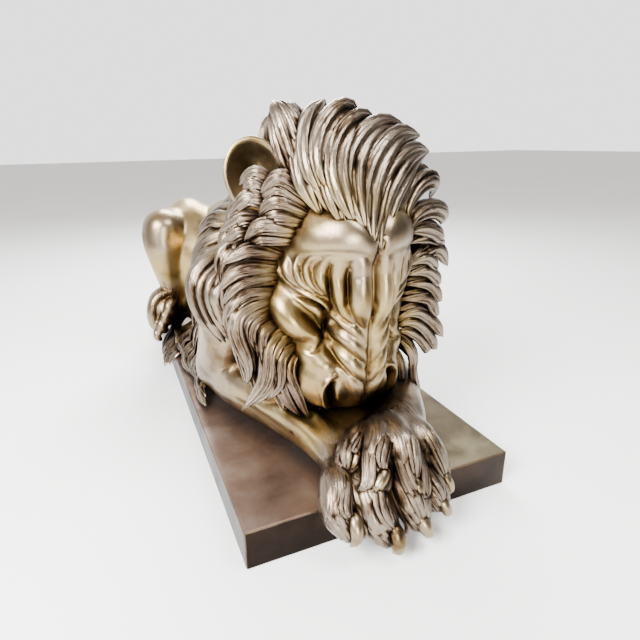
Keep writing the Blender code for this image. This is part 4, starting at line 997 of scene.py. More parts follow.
def crest():
    guides = Guides(steps=16)
    forward = (-0.35, -0.9, 0.25)
    guides.drawn(traced(CREST_LOCKS), strays=1, spread=0.26, face=forward, hug=0, roll=0.45, fade=0.2,
                 sink=0.1, leaf=BROAD)
    guides.row([(-0.9, 2.2, 7.2), (-0.3, 2.1, 7.3), (0.3, 2.0, 7.0), (0.7, 2.0, 6.6), (0.8, 1.9, 6.1)],
               [(-1.0, 3.1, 9.05), (0.1, 3.0, 9.1), (1.1, 2.9, 8.75), (1.85, 2.9, 8.1), (2.3, 2.8, 7.5)],
               7, 0.46, bow=-0.16, hook=-0.12, face=forward, hug=0, gather=0.2, roll=0.45, leaf=BROAD)
    guides.row([(-1.1, 3.2, 8.0), (0, 3.1, 8.2), (1.2, 3.2, 7.8)],
               [(-1.1, 3.9, 9.0), (0.3, 3.9, 9.1), (1.9, 3.7, 8.5)],
               5, 0.46, bow=-0.1, hook=-0.1, face=forward, hug=0, gather=0.2, roll=0.3)
    guides.row([(-1.2, 3.8, 7.9), (0, 3.8, 8.1), (1.3, 3.8, 7.7)],
               [(-0.9, 4.6, 8.85), (0.4, 4.6, 9.0), (1.9, 4.4, 8.4)],
               6, 0.48, bow=0.1, hook=0.1, face=(0, 0.9, 0.4), hug=0, gather=0.2, roll=-0.4)
    return guides.swept(strands=5, furrow=0.45, thickness=0.55)


hair = [crest()]
print("crest", triangles(hair[-1]), "triangles")

# %% [markdown]
# ## The ruff
# Round the face the hair changes from place to place: short hooked locks at the temple, long waving
# ones that hang from the cheek, and broad ones that sweep outward on the far side.  They give the
# head its outline, so each is drawn on the photograph.  Plain rows below them fill the gaps.

# %% The ruff round the face
TEMPLE_LOCKS = [
    ([(300, 181.7), (283.3, 177.5), (270, 182.5), (260, 195.8)], (1.7, 2.4), 0.15),
    ([(298.3, 191.7), (281.7, 187.5), (268.3, 191.7), (258.3, 200)], (1.75, 2.5), 0.15),
    ([(300, 205.8), (281.7, 201.7), (268.3, 205), (258.3, 216.7)], (1.75, 2.4), 0.15),
    ([(296.7, 216.7), (280, 214.2), (268.3, 218.3), (259.2, 225)], (1.8, 2.4), 0.15),
    ([(288.3, 230), (270, 225), (255, 228.3), (244.2, 240.8)], (1.9, 2.4), 0.15),
    ([(281.7, 241.7), (266.7, 237.5), (255, 240), (247.5, 246.7)], (2, 2.5), 0.13),
    ([(273.3, 178.3), (260, 173.3), (248.3, 176.7), (239.2, 185)], (2.1, 2.9), 0.13),
    ([(266.7, 198.3), (251.7, 196.7), (240, 205), (229.2, 216.3)], (2.2, 2.9), 0.15),
    ([(263.3, 185), (253.3, 183.3), (246.7, 188.3), (243.3, 193.3)], (2.2, 2.8), 0.13),
    ([(258.3, 216.7), (243.3, 216.7), (231.7, 225), (218.3, 231.7)], (2.3, 3.1), 0.15),
    ([(250, 230), (240, 230), (231.7, 236.7), (224.2, 240.8)], (2.4, 3), 0.13),
    ([(268.3, 256.7), (253.3, 249.2), (238.3, 255), (220.3, 264.7)], (2.2, 2.5), 0.15),
    ([(260, 273.3), (246.7, 269.2), (231.7, 275.8), (218, 292.5)], (2.3, 2.5), 0.16),
    ([(260.8, 281.7), (246.7, 280), (233.3, 288.3), (222.5, 305)], (2.3, 2.5), 0.15),
]
CHEEK_LOCKS = [
    ([(264.3, 291.4), (247.1, 292.9), (234.3, 304.3), (227.9, 320), (229.3, 334.3)], (2.4, 2.6), 0.2),
    ([(264.3, 300), (245.7, 301.4), (234.3, 315.7), (234.3, 332.9), (242.9, 351.4), (251.4, 368.6),
      (248.3, 382.9)], (2.4, 2.4), 0.2),
    ([(265.7, 308.6), (251.4, 310), (241.4, 322.9), (241.4, 338.6), (251.4, 355.7),
      (255.7, 371.4)], (2.4, 2.5), 0.18),
    ([(271.4, 314.3), (257.1, 317.1), (248.6, 331.4), (252.9, 345.7), (261.4, 357.1)], (2.4, 2.5), 0.18),
    ([(278.6, 321.4), (265.7, 327.1), (260, 340), (262.9, 354.3), (261.4, 370)], (2.4, 2.4), 0.18),
    ([(285.7, 330), (272.9, 335.7), (264.3, 348.6), (267.1, 367.1), (264.3, 384.3), (252.9, 398.6),
      (242.1, 410.3)], (2.4, 2.3), 0.2),
    ([(290, 337.1), (278.6, 342.9), (271.4, 355.7), (274.3, 371.4), (271.4, 385.7), (260, 398.6),
      (247.1, 407.1)], (2.35, 2.3), 0.18),
    ([(294.3, 345.7), (284.3, 351.4), (278.6, 362.9), (281.4, 375.7), (278.6, 388.6),
      (267.1, 400)], (2.3, 2.2), 0.18),
    ([(298.6, 352.9), (291.4, 358.6), (287.1, 370), (291.4, 381.4), (298.6, 394.3), (302.9, 407.1),
      (309.3, 418.6)], (2.25, 2.1), 0.18),
    ([(288.6, 362.9), (280, 374.3), (281.4, 388.6), (288.6, 402.9), (300, 415.7)], (2.35, 2.2), 0.18),
    ([(248.6, 341.4), (242.9, 348.6), (247.1, 362.9), (248.6, 374.3), (247.1, 384.3)], (2.9, 2.6), 0.18),
]
FAR_LOCKS = [
    ([(385, 233.3), (396.7, 206.7), (408.3, 185.8), (418.3, 173.3), (430.3, 171)], (1.3, 2.6), 0.28),
    ([(390, 236.7), (405, 205), (418.3, 183.3), (431.7, 178.3), (434.7, 185.8),
      (429.2, 200)], (1.5, 2.6), 0.26),
    ([(393.3, 243.3), (408.3, 220), (423.3, 208.3), (438.3, 208.3), (444.2, 216.7),
      (441.3, 224.2)], (1.6, 2.5), 0.26),
    ([(405, 233.3), (418.3, 227.5), (431.7, 230), (439.2, 235.8), (442, 240.8)], (1.7, 2.4), 0.22),
    ([(406.7, 243.3), (420, 236.7), (433.3, 236.7), (441.7, 243.3), (439.2, 240.8)], (1.9, 2.6), 0.2),
    ([(408.3, 263.3), (421.7, 255), (435, 246.7), (441.7, 253.3), (447.8, 265.8)], (2.1, 2.5), 0.22),
    ([(410, 266.7), (421.7, 256.7), (430, 258.3), (433.3, 265), (438.3, 267.5)], (2, 2.4), 0.2),
    ([(410.8, 276.7), (423.3, 269.2), (431.7, 273.3), (436.7, 280), (439.3, 285.3)], (2.1, 2.4), 0.2),
    ([(413.3, 288.3), (423.3, 281.7), (431.7, 286.7), (436.7, 295), (441.7, 300.8)], (2.2, 2.5), 0.2),
    ([(411.7, 303.3), (423.3, 296.7), (430, 300), (433.3, 310), (439.2, 314.2)], (2.2, 2.4), 0.2),
    ([(403.3, 316.7), (415, 310), (426.7, 316.7), (436.7, 326.7), (443, 336.7)], (2.2, 2.4), 0.2),
    ([(400, 325), (413.3, 320), (425, 330), (431.7, 341.7), (437, 349.2)], (2.2, 2.35), 0.2),
    ([(396.7, 331.7), (408.3, 330), (420, 338.3), (426.7, 348.3), (428.3, 351.7)], (2.2, 2.3), 0.18),
    ([(395, 338.3), (405, 343.3), (413.3, 356.7), (410.8, 373.3), (415, 386.7),
      (420.3, 398)], (2.2, 2.3), 0.18),
    ([(393.3, 350), (400, 361.7), (400, 378.3), (405, 388.3), (408.3, 396.7)], (2.2, 2.2), 0.16),
]


def ruff():
    guides = Guides(steps=13)
    forward = (-0.4, -0.9, 0.1)
    leftward = (0.3, -0.9, 0.2)
    # what lies below: plain rows that fill the gaps
    guides.row([(-2.0, 3.1, 5.9), (-2.15, 3.2, 5.2), (-2.0, 3.2, 4.5)],
               [(-3.05, 3.1, 5.5), (-3.2, 3.1, 4.7), (-3.0, 3.0, 3.7)],
               6, 0.3, bow=0.3, hook=0.15, hug=0, face=forward, stray=0.05)
    guides.row([(-2.0, 3.1, 4.5), (-1.85, 3.1, 3.9), (-1.55, 3.1, 3.3), (-1.3, 3.0, 2.4)],
               [(-2.9, 2.9, 3.1), (-2.8, 2.8, 2.3), (-2.6, 2.8, 1.8), (-1.9, 2.6, 1.2)],
               8, 0.28, bow=0.25, sway=0.08, hug=0, face=forward, stray=0.05)
    guides.row([(1.6, 2.7, 6.0), (1.8, 2.8, 5.2), (1.8, 2.8, 4.2), (1.5, 2.8, 3.0)],
               [(2.4, 2.8, 6.4), (2.65, 2.8, 5.2), (2.75, 2.8, 3.9), (2.3, 2.6, 2.0)],
               9, 0.3, bow=-0.2, hook=-0.1, hug=0, face=leftward, stray=0.05)
    guides.drawn(traced(TEMPLE_LOCKS), spread=0.13, face=(-0.4, -0.9, 0.2), hug=0, fade=0.3, sink=0.2)
    guides.drawn(traced(CHEEK_LOCKS), strays=1, spread=0.15, face=forward, hug=0, fade=0.2, sink=0.2)
    guides.drawn(traced(FAR_LOCKS), strays=1, face=leftward, hug=0, leaf=WAVE, fade=0.15, sink=0.1)
    return guides.swept(strands=3, furrow=0.55, thickness=0.75)


hair.append(ruff())
print("ruff", triangles(hair[-1]), "triangles")

# %% [markdown]
# ## The shoulder and the mane
# Behind the ruff four long smooth locks fall over the shoulder like ribbons.  The rest of the mane
# lies back over the neck in rows, each row's tips covering the roots of the next.

# %% Long locks over the shoulder
RIBBON = [
    ([(227.1, 228.6), (212.9, 242.9), (198.6, 258.6), (192.1, 280), (194.3, 300), (202.1, 317.1),
      (210.7, 330), (221.4, 342.6)], (3.6, 3.9, 3.9, 3.6, 3.4), 0.2),
    ([(228.6, 235.7), (215.7, 252.9), (204.3, 271.4), (200, 288.6), (203.6, 304.3), (210.7, 320),
      (218.6, 332.9), (225.7, 342.6)], (3.4, 3.7, 3.7, 3.4, 3.3), 0.2),
    ([(231.4, 244.3), (220, 258.6), (210.7, 275.7), (208.6, 291.4), (212.1, 307.1), (218.6, 321.4),
      (225.7, 332.9), (233.1, 342.6)], (3.2, 3.5, 3.5, 3.3, 3.2), 0.2),
    ([(227.1, 267.1), (218.6, 278.6), (214.3, 294.3), (217.4, 308.6), (222.9, 322.9),
      (227.9, 334.3)], (3.2, 3.3, 3.2), 0.16),
]
RIBBON_SET_BACK = (0.4, 0.8, 0)
RIBBON_STEPS = 17
STRAP = [0.6, 0.9, 1.1, 1.2, 1.2, 1.1, 0.8, 0.1]


def shoulder():
    """Long smooth locks from behind the ear, set back on the lion's left."""
    guides = Guides(steps=RIBBON_STEPS)
    for side in (-1, 1):
        for line, half in traced(RIBBON):
            path = np.array(line) if side < 0 else (np.array(line) + RIBBON_SET_BACK) * (-1, 1, 1)
            guides.lock(spline(path, RIBBON_STEPS), half, face=(0.5 * side, -0.8, 0.2), hug=0, roll=0.3,
                        leaf=STRAP)
    return guides.swept(strands=1, furrow=0.2, thickness=0.7)


hair.append(shoulder())
print("shoulder", triangles(hair[-1]), "triangles")


# %% The mane behind
def mane():
    guides = Guides(steps=10)
    for side in (-1, 1):
        # behind the ruff, from the crown down to the throat
        guides.row(on_side(side, [(-1.5, 3.2, 7.4), (-2.1, 3.2, 6.2), (-2.2, 3.2, 4.9), (-1.9, 3.2, 3.6),
                                  (-1.4, 3.2, 2.6)]),
                   on_side(side, [(-2.3, 4.9, 7.0), (-2.9, 4.8, 5.7), (-2.95, 4.8, 4.4), (-2.7, 4.6, 3.1),
                                  (-2.3, 4.4, 2.1)]),
                   11, 0.36, bow=-0.15 * side, hug=0.55)
        guides.row(on_side(side, [(-2.0, 3.9, 6.7), (-2.4, 4.1, 5.7), (-2.3, 4.1, 4.6)]),
                   on_side(side, [(-2.9, 4.2, 6.4), (-3.2, 4.2, 5.0), (-3.0, 3.9, 3.9)]),
                   8, 0.3, bow=-0.2 * side, hug=0.3)
        guides.row(on_side(side, [(-1.6, 5.0, 7.4), (-2.3, 5.0, 6.4), (-2.6, 5.0, 5.2), (-2.5, 4.8, 4.0)]),
                   on_side(side, [(-2.5, 6.6, 6.6), (-2.95, 6.4, 5.1), (-3.1, 5.7, 3.9), (-2.95, 4.8, 3.2)]),
                   10, 0.32, bow=-0.15 * side, hug=0.8)
        guides.row(on_side(side, [(-1.2, 6.3, 6.6), (-2.0, 6.3, 6.0), (-2.5, 6.3, 5.0)]),
                   on_side(side, [(-1.8, 8.6, 5.6), (-2.7, 8.2, 4.7), (-3.0, 7.6, 3.7)]),
                   7, 0.32, bow=-0.15 * side, hug=0.9)
    guides.row([(-1.6, 4.6, 7.9), (0, 4.6, 8.2), (1.6, 4.6, 7.9)],
               [(-1.6, 6.6, 7.3), (0, 6.8, 7.6), (1.6, 6.6, 7.3)], 7, 0.4, hug=0.5)
    guides.row([(-1.9, 5.8, 6.8), (0, 6.0, 7.1), (1.9, 5.8, 6.8)],
               [(-1.7, 8.2, 5.9), (0, 8.6, 6.2), (1.7, 8.2, 5.9)], 7, 0.38, hug=0.85)
    return guides.swept(strands=3, furrow=0.45, thickness=0.6)


hair.append(mane())
print("mane", triangles(hair[-1]), "triangles")

# %% [markdown]
# ## Beard and fur
# A short beard hangs under the chin.  Fur hangs from the flanks in two rows, and where it meets the
# plinth a third row's tips curl up.  The tail ends in a tuft that spills over the plinth's edge.

# %% Beard and fur
TUFT_OVERHANG = 0.36
TUFT_DROP = 0.3


def fur():
    guides = Guides(steps=9)
    guides.row([(-0.9, 2.9, 1.7), (0, 2.9, 1.4), (0.9, 2.9, 1.7)],
               [(-1.0, 2.2, 0.9), (0, 2.0, 1.0), (0.9, 2.2, 1.3)],
               9, 0.16, hug=0, face=(0, -1, 0.2), stray=0.05)
    for side in (-1, 1):
        guides.row(on_side(side, [(-2.3, 8.3, 4.2), (-2.4, 10.0, 3.4), (-2.5, 11.4, 3.1)]),
                   on_side(side, [(-3.15, 7.7, 2.3), (-3.2, 9.0, 1.8), (-3.3, 10.4, 1.4)]),
                   10, 0.2, bow=-0.2 * side, hug=0.5)
        guides.row(on_side(side, [(-2.7, 8.4, 2.4), (-2.8, 9.8, 2.1), (-2.9, 11.2, 1.8)]),
                   on_side(side, [(-3.3, 7.8, 0.7), (-3.45, 9.0, 0.6), (-3.5, 10.4, 0.6)]),
                   10, 0.19, bow=-0.2 * side, hug=0.3)
        # where the flank meets the plinth the tips curl up
        guides.row(on_side(side, [(-2.9, 11.2, 1.0), (-2.9, 9.0, 1.1), (-2.9, 6.9, 0.9)]),
                   on_side(side, [(-3.62, 10.6, 0.12), (-3.62, 8.4, 0.12), (-3.6, 6.3, 0.12)]),
                   10, 0.2, bow=-0.35 * side, hook=-0.45 * side, hug=0, face=(0.6 * side, 0, 0.8))
    over = -SQUARES_ACROSS / 2 - TUFT_OVERHANG
    guides.row([(-3.4, 12.8, 0.45), (-3.3, 10.9, 0.35)],
               [(over, 12.1, -0.5 * TUFT_DROP), (over, 10.5, -TUFT_DROP)],
               8, 0.22, bow=0.25, hug=0, face=(-0.5, 0, 0.8), stray=0.05)
    return guides.swept(strands=3, furrow=0.45, thickness=0.6)


hair.append(fur())
print("fur", triangles(hair[-1]), "triangles")

# %% [markdown]
# ## Fur of the paws
# Each toe carries a comb of fine locks that run from the knuckle down to the claw.

# %% Fur combed round the claws
COMB = 11
PARTING = 0.35


def paw_fur():
    """Strands run from each knuckle, part round the claw and meet again at its tip."""
    guides = Guides(steps=COMB, over=body_form)
    ahead = unit(np.array([0, -0.8, 0.6]))
    for line, radius, claw, half in TOES:
        line, claw = np.array(line), np.array(claw)
        side = unit(np.cross(line[3] - line[1], ahead))
        for k, share in enumerate(np.linspace(-1, 1, COMB)):
            root = line[0] * 0.7 + line[1] * 0.3 + side * share * radius * 0.8 + ahead * radius
            over = line[2] + side * share * radius * 1.1 + ahead * radius * (1 - 0.6 * abs(share))
            beside = claw[1] + side * share * (half + 0.16) + ahead * 0.02
            if abs(share) > PARTING:
                path = [root, over, beside, claw[2] + side * share * 0.12]
            else:
                path = [root, (root + over) / 2, over, claw[0] + side * share * half]
            guides.lock(spline(path, COMB), radius * (0.19 + 0.06 * (k % 2)), hug=0.95, lift=0.02)
    return guides.swept(strands=1, furrow=0.3, thickness=0.55)


hair.append(paw_fur())
print("paw fur", triangles(hair[-1]), "triangles")

# %% [markdown]
# ## One casting
# The skins and the locks become one piece.  The plinth's block is cut out of the body, so that
# the figure beds on it.  Each place keeps the values that the bronze reads: how far across and
# along a lock it is, whether it is a lock at all, and how furry it is.

# %% Join the casting
HEAD_BUDGET = 23500
FIT_GAP = 0.0003


def without_plinth(mesh):
    """The mesh less the plinth's block and the fit's gap round it."""
    bm = bmesh.new()
    bmesh.ops.create_cube(bm, size=1)
    size = plinth_high - plinth_low
    bm.transform(Matrix.Translation((plinth_low + plinth_high) / 2)
                 @ Matrix.Diagonal([length + 2 * FIT_GAP for length in size] + [1]))
    block = bpy.data.meshes.new("block")
    bm.to_mesh(block)
    bm.free()
    cutter = bpy.data.objects.new("block", block)
    bpy.context.scene.collection.objects.link(cutter)
    result = evaluated(mesh, "BOOLEAN", operation="DIFFERENCE", object=cutter, solver="EXACT")
    bpy.data.objects.remove(cutter)
    return result


HAIR_ATTRIBUTES = ("across", "along", "fur")


def joined(meshes, name):
    """One mesh of several, with the locks' own values, and 1 in "lock" wherever there is hair."""
    points, faces, count = [], [], 0
    values = {key: [] for key in HAIR_ATTRIBUTES + ("lock",)}
    for mesh in meshes:
        points.append(places(mesh))
        faces += [[i + count for i in p.vertices] for p in mesh.polygons]
        size = len(mesh.vertices)
        for key in HAIR_ATTRIBUTES:
            value = np.zeros(size, np.float32)
            if key in mesh.attributes:
                mesh.attributes[key].data.foreach_get("value", value)
            values[key].append(value)
        hairy = "across" in mesh.attributes and "fur" not in mesh.attributes
        values["lock"].append(np.full(size, float(hairy), np.float32))
        count += size
    result = bpy.data.meshes.new(name)
    result.from_pydata(np.vstack(points).tolist(), [], faces)
    for key, parts in values.items():
        result.attributes.new(key, "FLOAT", "POINT").data.foreach_set("value", np.concatenate(parts))
    return result


body.transform(TO_WORLD)
body = without_plinth(body)
others = [thinned(head, HEAD_BUDGET), claws()] + ears + hair
for mesh in others:
    mesh.transform(TO_WORLD)
lion_mesh = joined([body] + others, "lion")
lion = bpy.data.objects.new("bronze_lion", lion_mesh)
bpy.context.scene.collection.objects.link(lion)
lion_mesh.materials.clear()
lion_mesh.materials.append(lion_bronze)
lion_mesh.shade_smooth()
print("lion", triangles(lion_mesh), "triangles")

# %% [markdown]
# ## Where the patina stays dark, and painted shade
# A cast bronze is darkened all over with chemicals and then rubbed, so the heights shine and the
# hollows stay dark.  Hollows, the gaps between locks and the places beside the plinth are also
# where shade falls, so the darkness measured here is painted shade as well as patina.  How hollow a
# place is can be measured: rays leave it in many directions, and the share of them that soon meet
# bronze again is stored on the mesh.

# %% Measure the hollows
RAYS = 14
REACH = 0.16
RAY_START = 0.0008
FARTHEST_COUNTS = 0.4


def hollows(mesh, others):
    """For each vertex the share of rays that meet something within reach, nearer ones more."""
    points = places(mesh)
    normals = places(mesh, "normal")
    vertices = points.tolist()
    faces = [list(p.vertices) for p in mesh.polygons]
    for other in others:
        faces += [[i + len(vertices) for i in p.vertices] for p in other.data.polygons]
        vertices += [list(other.matrix_world @ v.co) for v in other.data.vertices]
    tree = BVHTree.FromPolygons(vertices, faces)
    turns = (np.arange(RAYS) + 0.5) / RAYS
    heights = np.sqrt(turns)
    angles = np.arange(RAYS) * pi * (3 - sqrt(5))
    spread = np.column_stack([np.cos(angles), np.sin(angles)]) * np.sqrt(1 - heights ** 2)[:, None]
    helper = np.where(np.abs(normals[:, 2:]) < 0.9, [[0, 0, 1.0]], [[1.0, 0, 0]])
    right = unit(np.cross(helper, normals))
    ahead = np.cross(normals, right)
    met = np.zeros(len(points))
    for k in range(RAYS):
        ways = right * spread[k, 0] + ahead * spread[k, 1] + normals * heights[k]
        starts = points + normals * RAY_START
        for i in range(len(points)):
            distance = tree.ray_cast(Vector(starts[i]), Vector(ways[i]), REACH)[3]
            if distance is not None:
                met[i] += 1 - distance / REACH * (1 - FARTHEST_COUNTS)
    return met / RAYS


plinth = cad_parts["plinth"]
# this share darkens the colour: patina in the hollows, and painted shade there, between the locks and where
# the figure meets the plinth
occlusion = hollows(lion_mesh, [plinth])

# a polishing pad reaches into the open ears, so they keep half their patina and painted shade
EAR_RADIUS = 1.15
EAR_SHADE = 0.5
squares = (places(lion_mesh) - (0, plinth_low.y, plinth_high.z)) / SQUARE
squares[:, 0] = np.abs(squares[:, 0])
by_ear = np.linalg.norm(squares - EAR_PLACE, axis=1) < EAR_RADIUS
hairy = np.empty(len(occlusion), np.float32)
lion_mesh.attributes["lock"].data.foreach_get("value", hairy)
occlusion[by_ear & (hairy < 0.5)] *= EAR_SHADE
lion_mesh.attributes.new("occlusion", "FLOAT", "POINT").data.foreach_set("value", occlusion.astype(np.float32))
print("hollow share, mean and most:", occlusion.mean().round(3), occlusion.max().round(3))
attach(lion, "root")
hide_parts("lion")

# %% [markdown]
# ## Helpers for the finishes
# Colours are written as they look on a screen and turned into the linear numbers that a shader
# works with.  Pattern sizes are written in millimetres.

# %% Helpers for the finishes
def linear(hex_colour):
    """An sRGB hex colour as the linear numbers that a shader takes."""
    parts = [int(hex_colour[i:i + 2], 16) / 255 for i in (1, 3, 5)]
    return tuple(c / 12.92 if c <= 0.04045 else ((c + 0.055) / 1.055) ** 2.4 for c in parts) + (1.0,)


def ramp(tree, factor, stops):
    """Colours blended along a factor; stops are (place, hex colour)."""
    made = node(tree, "ShaderNodeValToRGB", {0: factor})
    elements = made.color_ramp.elements
    for element, (place, colour) in zip(elements, (stops[0], stops[-1])):
        element.position = place
        element.color = linear(colour)
    for place, colour in stops[1:-1]:
        elements.new(place).color = linear(colour)
    return made


def per_metre(millimetre):
    """Noise scale that gives features of this size, as object coordinates are in metres."""
    return 1000 / millimetre


# %% [markdown]
# ## Patinated cast bronze
# The figure is cast silicon bronze, chased smooth and coloured hot with a brown patina.  Rubbing
# it back leaves golden metal on the heights and keeps dark brown in the hollows, and a coat of
# wax gives a soft gloss, so highlights are wide and creamy and never sharp.  The measured hollows
# choose the colour, so the dark brown in them is painted shade as well as patina, clouds about
# 90 mm across make it uneven, as heat and brush do, and wide patches were browned twice.  Hair is
# greyer than skin because a pad slides over its ridges.

# %% The figure's bronze
CLOUD = 90
PATCH = 210
CASTING_GRAIN = 7
STRANDS_IN_A_LOCK = 26
STREAKS_ALONG = 3.0
PATCH_STRENGTH = 0.75
HALF_ROOTED = (0.03, 0.4)
HOLLOW, OPEN = 0.95, 0.12
UNEVENNESS = 1.1
STREAK_STRENGTH = 0.8
GLOSSY, MATT = 0.27, 0.46
GRAIN_DEPTH = 0.0008
STRAND_DEPTH = 0.003


def figure_bronze(material):
    material.use_nodes = True
    tree = material.node_tree
    shader = tree.nodes["Principled BSDF"]
    place = node(tree, "ShaderNodeTexCoord").outputs["Object"]
    hollow = node(tree, "ShaderNodeAttribute", attribute_name="occlusion").outputs["Fac"]
    lock = node(tree, "ShaderNodeAttribute", attribute_name="lock").outputs["Fac"]
    across = node(tree, "ShaderNodeAttribute", attribute_name="across").outputs["Fac"]
    along = node(tree, "ShaderNodeAttribute", attribute_name="along").outputs["Fac"]

    # a lock's root is skin-coloured, and the hair's colour comes in along it
    rooted = node(tree, "ShaderNodeMapRange", {"Value": along, "From Min": HALF_ROOTED[0],
                                               "From Max": HALF_ROOTED[1]})
    hair = node(tree, "ShaderNodeMath", {0: lock, 1: rooted}, operation="MULTIPLY")
    fur = node(tree, "ShaderNodeAttribute", attribute_name="fur").outputs["Fac"]
    hair = node(tree, "ShaderNodeMath", {0: hair, 1: fur}, operation="MAXIMUM").outputs[0]
    # wide brown patches, where the brush went over the skin twice
    patch = node(tree, "ShaderNodeTexNoise", {"Vector": place, "Scale": per_metre(PATCH), "Detail": 3.0})
    patch = node(tree, "ShaderNodeMapRange", {"Value": patch.outputs[0], "From Min": 0.42, "From Max": 0.62,
                                              "To Max": PATCH_STRENGTH})
    brown = node(tree, "ShaderNodeMath", {0: hair, 1: patch}, operation="MAXIMUM").outputs[0]

    cloud = node(tree, "ShaderNodeTexNoise", {"Vector": place, "Scale": per_metre(CLOUD), "Detail": 4.0})
    grain = node(tree, "ShaderNodeTexNoise", {"Vector": place, "Scale": per_metre(CASTING_GRAIN),
                                              "Detail": 3.0})

    # hair has fine strands: noise that is stretched along each lock
    over = node(tree, "ShaderNodeMath", {0: across, 1: float(STRANDS_IN_A_LOCK)}, operation="MULTIPLY")
    down = node(tree, "ShaderNodeMath", {0: along, 1: STREAKS_ALONG}, operation="MULTIPLY")
    apart = node(tree, "ShaderNodeMath", {0: cloud.outputs[0], 1: 9.0}, operation="MULTIPLY")
    strand = node(tree, "ShaderNodeCombineXYZ", {"X": over, "Y": down, "Z": apart})
    strand = node(tree, "ShaderNodeTexNoise", {"Vector": strand, "Scale": 1.0, "Detail": 1.0})
    strand = node(tree, "ShaderNodeMath", {0: strand.outputs[0], 1: 0.5}, operation="SUBTRACT")
    strand = node(tree, "ShaderNodeMath", {0: strand, 1: hair}, operation="MULTIPLY")

    # how far the patina is rubbed back, which also paints the shade: 0 in a hollow, dark with patina and
    # painted shade, and 1 on a height
    wear_and_painted_shade = node(tree, "ShaderNodeMapRange", {"Value": hollow, "From Min": HOLLOW, "From Max": OPEN})
    uneven = node(tree, "ShaderNodeMath", {0: cloud.outputs[0], 1: 0.5}, operation="SUBTRACT")
    uneven = node(tree, "ShaderNodeMath", {0: uneven, 1: UNEVENNESS}, operation="MULTIPLY")
    wear_and_painted_shade = node(tree, "ShaderNodeMath", {0: wear_and_painted_shade, 1: uneven})
    streaks = node(tree, "ShaderNodeMath", {0: strand, 1: STREAK_STRENGTH}, operation="MULTIPLY")
    wear_and_painted_shade = node(tree, "ShaderNodeMath", {0: wear_and_painted_shade, 1: streaks}, use_clamp=True)
    skin_tone = ramp(tree, wear_and_painted_shade, [(0.0, "#0b0602"), (0.3, "#231608"), (0.55, "#4e3a1a"), (0.78, "#715c34"),
                                  (1.0, "#937f54")])
    hair_tone = ramp(tree, wear_and_painted_shade, [(0.0, "#040202"), (0.35, "#110b06"), (0.6, "#2b2016"), (0.8, "#514132"),
                                  (1.0, "#7d7062")])
    tone = node(tree, "ShaderNodeMix", data_type="RGBA")
    tree.links.new(brown, tone.inputs[0])
    tree.links.new(skin_tone.outputs[0], tone.inputs[6])
    tree.links.new(hair_tone.outputs[0], tone.inputs[7])
    tree.links.new(tone.outputs[2], shader.inputs["Base Color"])

    rough = node(tree, "ShaderNodeMapRange", {"Value": hollow, "From Min": 0.1, "From Max": 0.8,
                                              "To Min": GLOSSY, "To Max": MATT})
    speckle = node(tree, "ShaderNodeMath", {0: grain.outputs[0], 1: 0.12}, operation="MULTIPLY")
    rough = node(tree, "ShaderNodeMath", {0: rough, 1: speckle})
    tree.links.new(rough.outputs[0], shader.inputs["Roughness"])
    shader.inputs["Metallic"].default_value = 1.0

    # the casting's fine grain, then the strands on top of it
    cast = node(tree, "ShaderNodeBump", {"Height": grain.outputs[0], "Strength": 0.25,
                                         "Distance": GRAIN_DEPTH})
    combed = node(tree, "ShaderNodeBump", {"Height": strand, "Strength": 0.5, "Distance": STRAND_DEPTH,
                                           "Normal": cast})
    tree.links.new(combed.outputs[0], shader.inputs["Normal"])


figure_bronze(lion_bronze)
print("figure bronze", len(lion_bronze.node_tree.nodes), "nodes")

# %% [markdown]
# ## The plinth's bronze
# The plinth is the same metal, welded up from cast plates, with a pink-brown patina that the
# torch and the brush left cloudy under the wax.  Hands and cloths have rubbed its arrises bare.
# An arris is where two faces meet, so it is found by adding a place's distances to both faces.
# Its sides are painted far darker than its top, as painted shade, and its top is painted paler
# towards its left, as a painted reflection.

# %% The plinth's bronze
PLINTH_CLOUD = 160
WORN_WIDTH = 0.004
REFLECTION_ENDS = -0.15
OLIVE_BEGINS = 0.25
TOP_DEPTH = 0.0004


